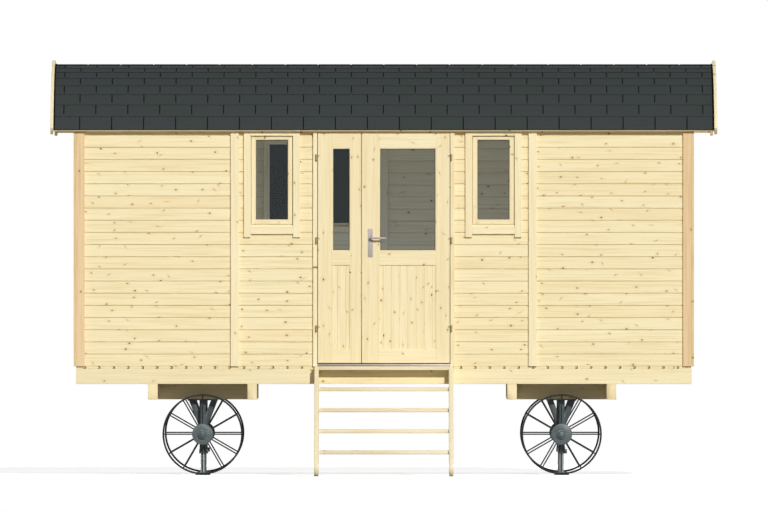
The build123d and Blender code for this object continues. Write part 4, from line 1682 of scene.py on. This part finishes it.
@dataclass
class DoorSet:
    """Door frame, two glazed leaves with boarded panels, threshold and furniture."""

    groove: float = 0.008
    bead: float = 0.012
    bead_inset: float = 0.0005
    bottom_rail: float = 0.107
    middle_rail: float = 0.118
    panel_recess: float = 0.008
    panel_thickness: float = 0.020
    panel_board: float = 0.0643
    panel_gap: float = 0.0004
    panel_groove: float = 0.003
    edge_bevel: float = 0.004
    jamb: float = 0.033
    stop: float = 0.017
    gap: float = 0.005
    leaf_thickness: float = 0.042
    spindle_hole: float = 0.0078
    cylinder_drop: float = 0.169
    cylinder_radius: float = 0.0085
    cylinder_proud: float = 0.0014
    cylinder_bed: float = 0.001
    plate_screw_inset: float = 0.012
    plate_screw_radius: float = 0.0038
    ease: float = 0.0015

    def frame_boards(self) -> None:
        """Build the jambs and head, each rebated for the leaves."""
        low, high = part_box("door_frame")
        front, back = low.y, high.y
        stop_y = front + self.leaf_thickness + self.gap
        work = Joinery()
        for side, edge in ((1, low.x), (-1, high.x)):
            corners = [
                (edge, front),
                (edge + side * self.jamb, front),
                (edge + side * self.jamb, stop_y),
                (edge + side * (self.jamb + self.stop), stop_y),
                (edge + side * (self.jamb + self.stop), back),
                (edge, back),
            ]
            work.drawn(2, corners, low.z, high.z)
        corners = [
            (front, high.z),
            (front, high.z - self.jamb),
            (stop_y, high.z - self.jamb),
            (stop_y, high.z - self.jamb - self.stop),
            (back, high.z - self.jamb - self.stop),
            (back, high.z),
        ]
        work.drawn(0, corners, low.x + self.jamb + JOINT, high.x - self.jamb - JOINT)
        piece = eased(work.piece("door_jambs_and_head", Finish.TRIM), self.ease)
        settle(mark_grain(piece), "hut", "spruce", "door_frame")

    def leaf(self, name: str, meeting: int) -> None:
        """Build one leaf.

        Args:
            name: narrow_door or main_door.
            meeting: -1 where the meeting edge is on the leaf's left, 1 on its right.
        """
        low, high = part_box(f"{name}_leaf")
        glass_low, glass_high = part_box(f"{name}_glass")
        edge = Vector((self.groove, 0, self.groove))
        open_low, open_high = glass_low + edge, glass_high - edge
        front, back = low.y, high.y
        left, right = open_low.x - self.bead, open_high.x + self.bead
        panel_low = low.z + self.bottom_rail
        panel_high = open_low.z - self.middle_rail
        work = Joinery()
        for stile_low, stile_high, hand in ((low.x, left, -1), (right, high.x, 1)):
            cut = self.edge_bevel if hand == meeting else 0.0
            corners = [
                (stile_low, front),
                (stile_high, front),
                (stile_high - (cut if hand > 0 else 0.0), back),
                (stile_low + (cut if hand < 0 else 0.0), back),
            ]
            work.drawn(2, corners, low.z, high.z)
        inner_left, inner_right = left + JOINT, right - JOINT
        rails = (
            (low.z, panel_low),
            (panel_high, open_low.z - self.bead),
            (open_high.z + self.bead, high.z),
        )
        for rail_low, rail_high in rails:
            work.board((inner_left, front, rail_low), (inner_right, back, rail_high))
        for x0, x1 in ((inner_left, open_low.x), (open_high.x, inner_right)):
            work.board((x0, front, panel_low + JOINT), (x1, back, panel_high - JOINT))
        timber = work.piece(f"{name}_stiles_and_rails", Finish.DOOR)
        if name == "main_door":
            lever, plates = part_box("door_lever"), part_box("handle_plates")
            x, z = (plates[0].x + plates[1].x) / 2, (lever[0].z + lever[1].z) / 2
            drill = Joinery().rod(Vector((x, front - 0.05, z)), Vector((0, 0.2, 0)), self.spindle_hole)
            carve(timber, drill.piece("drill", Finish.DOOR), Cut.AWAY)
        settle(mark_grain(eased(timber, self.ease)), name, "spruce", f"{name}_leaf")
        self.panel(name, (open_low.x, open_high.x), (panel_low, panel_high), front)
        glazing = Glazing()
        for face, way in ((front, 1), (back, -1)):
            start = face + way * self.bead_inset
            glazing.hold(open_low, open_high, self.bead, start, (front + back) / 2, way)
        glazing.finish(f"{name}_glazing_beads", f"{name}_glazing_seal", name)
        pane = frame["nodes"][f"{name}_glass"]
        pane.data.materials.clear()
        pane.data.materials.append(material_of(Finish.GLASS))

    def panel(self, name: str, wide: Pair, tall: Pair, front: float) -> None:
        """Fill the lower opening with upright boards, grooved where they meet.

        Args:
            name: narrow_door or main_door.
            wide: Left and right end of the opening.
            tall: Lower and upper end of the opening.
            front: Place of the leaf's front face.
        """
        (left, right), (low, high) = wide, tall
        pitch = self.panel_board
        count = math.ceil((right - left) / pitch) + 1
        offset = left - ((count * pitch) - (right - left)) / 2
        face = front + self.panel_recess
        back = face + self.panel_thickness
        cut = self.panel_groove
        last = pitch - self.panel_gap
        corners = [
            (cut, face),
            (last - cut, face),
            (last, face + cut),
            (last, back - cut),
            (last - cut, back),
            (cut, back),
            (0.0, back - cut),
            (0.0, face + cut),
        ]
        board = Joinery().drawn(2, [(offset + x, y) for x, y in corners], low, high)
        piece = board.piece(f"{name}_panel_boards", Finish.DOOR)
        grown(piece, ROW, Finish.DOOR, Count=count, Step=(pitch, 0.0, 0.0))
        edge = Joinery().board((left, front - 0.1, low - 0.1), (right, front + 0.1, high + 0.1))
        carve(piece, edge.piece("panel_edge", Finish.DOOR), Cut.WITHIN)
        settle(mark_grain(piece), name, "spruce")

    def furniture(self) -> None:
        """Dress the threshold, hinges, handle plates and lever."""
        sill = refined("threshold_bar", "door_threshold", Finish.SILL, 0.0015)
        settle(sill, "hut", "threshold_metal", "door_threshold")
        hinges = {
            "frame_hinges": "hut",
            "narrow_door_hinges": "narrow_door",
            "main_door_hinges": "main_door",
        }
        for node, body in hinges.items():
            settle(refined(f"{node}_turned", node, Finish.HINGE, 0.0005), body, "hinge_metal", node)
        plates = refined("handle_plates_pressed", "handle_plates", Finish.HANDLE, 0.0012, 3)
        settle(plates, "main_door", "handle_metal", "handle_plates")
        lever = refined("door_lever_cast", "door_lever", Finish.HANDLE, 0.0008)
        settle(smooth(lever, 60), "lever", "handle_metal", "door_lever")

    def lock(self) -> None:
        """Set the lock cylinder, with a dark plate of painted shade for its keyway, and the plate screws on
        both faces.
        """
        low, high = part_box("handle_plates")
        middle = (low.x + high.x) / 2
        cylinder_z = high.z - self.cylinder_drop
        work, dark, screws = Joinery(), Joinery(), Joinery()
        stem = rectangle(-0.005, 0.005, -0.024, -0.005)
        slot = rectangle(-0.0011, 0.0011, -0.0055, 0.0055)
        for face, hand in ((low.y, -1), (high.y, 1)):
            depth = Vector((0, hand * (self.cylinder_bed + self.cylinder_proud), 0))
            base = face - hand * self.cylinder_bed
            work.rod(Vector((middle, base, cylinder_z)), depth, self.cylinder_radius, 32)
            # The slot shape is a dark plate: painted shade for the keyway's hollow.
            for pile, corners, share in ((work, stem, 0.98), (dark, slot, 1.15)):
                pile.prism([Vector((middle + x, base, cylinder_z + z)) for x, z in corners], depth * share)
            for z in (low.z + self.plate_screw_inset, high.z - self.plate_screw_inset):
                screws.rod(Vector((middle, base, z)), depth, self.plate_screw_radius, 20)
        settle(smooth(work.piece("lock_cylinder", Finish.HANDLE)), "main_door", "handle_metal")
        # Painted shade of the keyway's hollow, a dark plate on the cylinder's face.
        settle(dark.piece("lock_keyway", Finish.SEAL), "main_door", "handle_metal")
        settle(smooth(screws.piece("handle_plate_screws", Finish.HANDLE)), "main_door", "handle_metal")

    def build(self) -> None:
        """Build the whole door set."""
        self.frame_boards()
        self.leaf("narrow_door", 1)
        self.leaf("main_door", -1)
        self.furniture()
        self.lock()


@dataclass
class Windows:
    """Fixed frames, sashes, panes and casings of the three windows."""

    frame: float = 0.046
    frame_ease: float = 0.001
    sash: float = 0.036
    gap: float = 0.003
    depth: float = 0.058
    stop: float = 0.012
    stop_width: float = 0.0097
    stop_lap: float = 0.010
    post_lap: float = 0.007
    post_inset: float = 0.0104
    sash_inset: float = 0.0005
    bead: float = 0.010
    bead_inset: float = 0.0012
    groove: float = 0.008
    casing: float = 0.054
    casing_thickness: float = 0.019
    head_cover: float = 0.012
    side_cover: float = 0.004
    sill_drop: float = 0.060
    sill_height: float = 0.017
    sill_slope: float = 0.006
    sill_proud: float = 0.012
    board_drop: float = 0.139
    ease: float = 0.0015

    def ring(self, work: Joinery, low: Vector, high: Vector, width: float, near: float, far: float) -> None:
        """Add upright stiles and rails between them round an opening.

        Args:
            work: The collection they go into.
            low: Lower corner of the opening.
            high: Upper corner of the opening.
            width: Width of stiles and rails.
            near: Place of one face along Y.
            far: Place of the other.
        """
        for x0, x1 in ((low.x - width, low.x), (high.x, high.x + width)):
            work.board((x0, near, low.z - width), (x1, far, high.z + width))
        for z0, z1 in ((low.z - width, low.z), (high.z, high.z + width)):
            work.board((low.x + JOINT, near, z0), (high.x - JOINT, far, z1))

    def windows(self) -> list[tuple[Side, Vector, Vector, list[Box]]]:
        """Group the panes by window.

        Returns:
            Side, lower and upper corner of all its glass, and its panes, for each window.
        """
        edge = Vector((self.groove, 0, self.groove))
        panes = [(low + edge, high - edge) for low, high in islands("window_panes")]
        front = [pane for pane in panes if pane[0].y < HUT.middle_y]
        rear = [pane for pane in panes if pane[0].y > HUT.middle_y]
        grouped = [(Side.FRONT, low, high, [(low, high)]) for low, high in front]
        return [*grouped, (Side.REAR, rear[0][0], rear[-1][1], rear)]

    def wall_openings(self) -> dict[Side, list[Box]]:
        """Return the wall openings by side, a little deeper than the wall.

        Returns:
            For each side, the openings as two corners.
        """
        found: dict[Side, list[Box]] = {side: [] for side in Side}
        spare = Vector((self.frame, 0.06, self.frame))
        for side, low, high, _ in self.windows():
            found[side].append((low - spare, high + spare))
        return found

    def frames(self) -> None:
        """Build the outer frames with their stops, the sashes and the beads."""
        outer, sashes, glazing = Joinery(), Joinery(), Glazing()
        border = self.sash + self.gap
        grow = Vector((border, 0, border))
        lap = Vector((border - self.stop_lap, 0, border - self.stop_lap))
        lip = Vector((self.bead, 0, self.bead))
        for side, low, high, panes in self.windows():
            face = HUT.face_y(side)
            inward = -side.value
            back = face + inward * self.depth
            stop = face + inward * (self.depth - self.stop)
            sash_back = stop - inward * self.sash_inset
            self.ring(outer, low - grow, high + grow, self.frame - border, face, back)
            self.ring(outer, low - lap, high + lap, self.stop_width, stop, back)
            for (_, first), (second, _) in zip(panes, panes[1:]):
                reach = self.sash - self.post_lap
                foot, head = low.z - border + self.post_inset, high.z + border - self.post_inset
                outer.board((first.x + reach, stop, foot), (second.x - reach, back, head))
            for pane_low, pane_high in panes:
                middle = (pane_low.y + pane_high.y) / 2
                sash_face = face + inward * self.sash_inset
                stile = self.sash - self.bead
                self.ring(sashes, pane_low - lip, pane_high + lip, stile, sash_face, sash_back)
                for start, way in ((face + inward * self.bead_inset, inward), (sash_back, -inward)):
                    glazing.hold(pane_low, pane_high, self.bead, start, middle, way)
        piece = eased(outer.piece("window_outer_frames", Finish.TRIM), self.frame_ease)
        settle(mark_grain(piece), "hut", "spruce", "window_frames")
        piece = eased(sashes.piece("window_sashes", Finish.DOOR), self.ease)
        settle(mark_grain(piece), "hut", "spruce")
        glazing.finish("window_glazing_beads", "window_glazing_seals", "hut")

    def casings(self) -> None:
        """Build the boards round each window: sides, head, sill board and, in front, a sloped sill."""
        work = Joinery()
        for side, low, high, _ in self.windows():
            face = HUT.face_y(side)
            proud = face + side.value * self.casing_thickness
            reach = self.frame - self.side_cover
            left, right = low.x - reach, high.x + reach
            head_low = high.z + self.frame - self.head_cover
            sill_top = low.z - self.sill_drop
            for x0, x1 in ((left - self.casing, left), (right, right + self.casing)):
                work.board((x0, face, low.z - self.board_drop), (x1, proud, head_low + self.casing))
            for z0, z1 in ((head_low, head_low + self.casing), (sill_top - self.casing, sill_top)):
                work.board((left + JOINT, face, z0), (right - JOINT, proud, z1))
            if side is Side.FRONT:
                tip = face + side.value * self.sill_proud
                corners = [
                    (face, sill_top + JOINT),
                    (tip, sill_top + JOINT),
                    (tip, sill_top + self.sill_height - self.sill_slope),
                    (face, sill_top + self.sill_height),
                ]
                work.drawn(0, corners, left + JOINT, right - JOINT)
        piece = eased(work.piece("window_casing_boards", Finish.TRIM), self.ease)
        settle(mark_grain(piece), "hut", "spruce", "window_casings")

    def glass(self) -> None:
        """Build the panes, the rear ones darker."""
        work = Joinery()
        for low, high in islands("window_panes"):
            work.board(low, high)
        piece = work.piece("window_glass_panes", Finish.GLASS)
        piece.data.materials.append(material_of(Finish.DARK_GLASS))
        for face in piece.data.polygons:
            face.material_index = int(face.center.y > HUT.middle_y)
        settle(piece, "hut", "glass", "window_panes")

    def build(self) -> None:
        """Build all the windows."""
        self.frames()
        self.casings()
        self.glass()


@dataclass
class Steps:
    """Stringers and treads with the screws that hold them."""

    stringer_ease: float = 0.003
    tread_ease: float = 0.004
    screw_radius: float = 0.0045
    screw_bed: float = 0.002
    screw_length: float = 0.0019

    def screws(self) -> None:
        """Drive two screws through each stringer into each tread."""
        work = Joinery()
        stringer_low, stringer_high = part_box("step_stringers")
        for low, high in islands("step_treads"):
            for x, hand in ((stringer_low.x, -1), (stringer_high.x, 1)):
                for share in (0.25, 0.75):
                    y = low.y + (high.y - low.y) * share
                    foot = Vector((x - hand * self.screw_bed, y, (low.z + high.z) / 2))
                    work.rod(foot, Vector((hand * self.screw_length, 0, 0)), self.screw_radius, 16)
        settle(smooth(work.piece("tread_screws", Finish.ZINC)), "hut", "galvanised_steel")

    def build(self) -> None:
        """Build the flight."""
        for kind, ease in (("stringer", self.stringer_ease), ("tread", self.tread_ease)):
            planks = refined(f"step_{kind}_planks", f"step_{kind}s", Finish.STEP, ease)
            settle(mark_grain(planks), "hut", "step_wood", f"step_{kind}s")
        self.screws()


def shows_background(sheet: Sheet, path: dict[str, Value]) -> Value:
    """Return 1 for rays from the camera, off gloss and through glass."""
    seen = sheet.math("MAXIMUM", path["Is Camera Ray"], path["Is Glossy Ray"])
    return sheet.math("MAXIMUM", seen, path["Is Transmission Ray"])


@dataclass
class Studio:
    """Pale floor, soft light and a camera far in front of the hut."""

    pixel: float = 0.0078
    frame_width: int = 768
    frame_height: int = 513
    middle_column: float = 383.8
    ground_row: float = 475.4
    lens: float = 1100.0
    sensor: float = 36.0
    sun_right: float = 0.33
    sun_up: float = 0.55
    sun_strength: float = 2.92
    sun_size: float = 1.2
    back_left: float = 0.4
    back_up: float = 0.18
    back_strength: float = 1.5
    back_size: float = 12.0
    fill: float = 0.25
    fill_tint: str = "f4f6ff"
    floor_radius: float = 8.5
    floor_pale: Colour = (0.92, 0.92, 0.92, 1.0)
    floor_glow: float = 0.62
    floor_bounce: Colour = (0.3, 0.3, 0.3, 1.0)
    room_power: float = 23.0
    room_tint: tuple[float, float, float] = (0.52, 0.62, 1.0)
    room_height: float = 1.0

    def camera(self) -> None:
        """Set the camera where one picture element covers the same length as in the photograph."""
        made = bpy.data.cameras.new("camera")
        made.lens = self.lens
        made.sensor_width = self.sensor
        made.clip_start = 10.0
        made.clip_end = 1000.0
        distance = self.pixel * self.frame_width * self.lens / self.sensor
        across = (self.frame_width / 2 - self.middle_column) * self.pixel
        height = (self.ground_row - self.frame_height / 2) * self.pixel
        holder = new_piece("camera", made)
        holder.location = (across, HUT.face_y(Side.FRONT) - distance, height)
        holder.rotation_euler = (math.pi / 2, 0, 0)
        bpy.context.scene.camera = holder

    def sun(self, name: str, towards: Vector, strength: float, size: float) -> None:
        """Shine on the hut from one side.

        Args:
            name: The lamp's name.
            towards: The way the light runs.
            strength: Its strength.
            size: How wide the lamp looks, in degrees.
        """
        made = bpy.data.lights.new(name, "SUN")
        made.energy = strength
        made.angle = math.radians(size)
        new_piece(name, made).rotation_euler = towards.to_track_quat("-Z", "Y").to_euler()

    def room_light(self) -> None:
        """Lift the room's shade with a broad soft lamp that no view shows."""
        made = bpy.data.lights.new("room_light", "AREA")
        made.shape = "RECTANGLE"
        made.size = 2 * HUT.half_length - 0.6
        made.size_y = 2 * HUT.half_width - 0.8
        made.energy = self.room_power
        made.color = self.room_tint
        holder = new_piece("room_light", made)
        holder.location = (0, HUT.middle_y, self.room_height)
        holder.rotation_euler = (math.pi, 0, 0)
        holder.visible_camera = False
        holder.visible_glossy = False
        holder.visible_transmission = False

    def world(self) -> None:
        """Fill with even light, and show white to the camera, to gloss and through glass."""
        made = bpy.data.worlds.new("studio")
        bpy.context.scene.world = made
        made.use_nodes = True
        sheet = Sheet(made.node_tree)
        even = made.node_tree.nodes["Background"]
        sheet.feed(even, {"Color": tint(self.fill_tint), "Strength": self.fill})
        white = sheet.value("ShaderNodeBackground", {"Color": (1, 1, 1, 1), "Strength": 1.0})
        seen = shows_background(sheet, sheet.outputs("ShaderNodeLightPath"))
        mix = sheet.value("ShaderNodeMixShader", {0: seen, 1: Value(sheet, even.outputs[0]), 2: white})
        sheet.feed(made.node_tree.nodes["World Output"], {"Surface": mix})

    def floor(self) -> None:
        """Lay a round pale floor that keeps the hut's shadow and throws little light back."""
        material = bpy.data.materials.new("pale_floor")
        material.use_nodes = True
        sheet = Sheet(material.node_tree)
        shader = material.node_tree.nodes["Principled BSDF"]
        sheet.feed(shader, {"Base Color": self.floor_pale, "Roughness": 1.0, "Specular IOR Level": 0.0})
        path = sheet.outputs("ShaderNodeLightPath")
        strength = shows_background(sheet, path) * self.floor_glow
        glow = sheet.value("ShaderNodeEmission", {"Strength": strength})
        shade = sheet.value("ShaderNodeBsdfDiffuse", {"Color": self.floor_bounce})
        feeds = {0: path["Is Diffuse Ray"], 1: Value(sheet, shader.outputs[0]), 2: shade}
        calm = sheet.value("ShaderNodeMixShader", feeds)
        both = sheet.value("ShaderNodeAddShader", {0: calm, 1: glow})
        sheet.feed(material.node_tree.nodes["Material Output"], {"Surface": both})
        form = bmesh.new()
        bmesh.ops.create_circle(form, cap_ends=True, radius=self.floor_radius, segments=96)
        mesh = bpy.data.meshes.new("floor_disc")
        form.to_mesh(mesh)
        form.free()
        mesh.materials.append(material)
        mesh.transform(Matrix.Translation((0, HUT.middle_y, 0)))
        new_piece("floor_disc", mesh)

    def build(self) -> None:
        """Set up the whole studio."""
        self.camera()
        towards = Vector((-self.sun_right, 1, -self.sun_up))
        self.sun("sun", towards, self.sun_strength, self.sun_size)
        towards = Vector((self.back_left, -1, -self.back_up))
        self.sun("back_light", towards, self.back_strength, self.back_size)
        self.room_light()
        self.world()
        self.floor()
        bpy.context.scene.view_settings.view_transform = "Standard"


def main() -> None:
    """Build every sub-assembly in order and report it."""
    logging.basicConfig(level=logging.INFO, format="%(message)s")
    for kind in (Studio, Chassis, RunningGear, WallBoards, Trims, Roof, DoorSet, Windows, Steps):
        kind().build()
        LOG.info("built %s", kind.__name__)


if __name__ == "__main__":
    main()
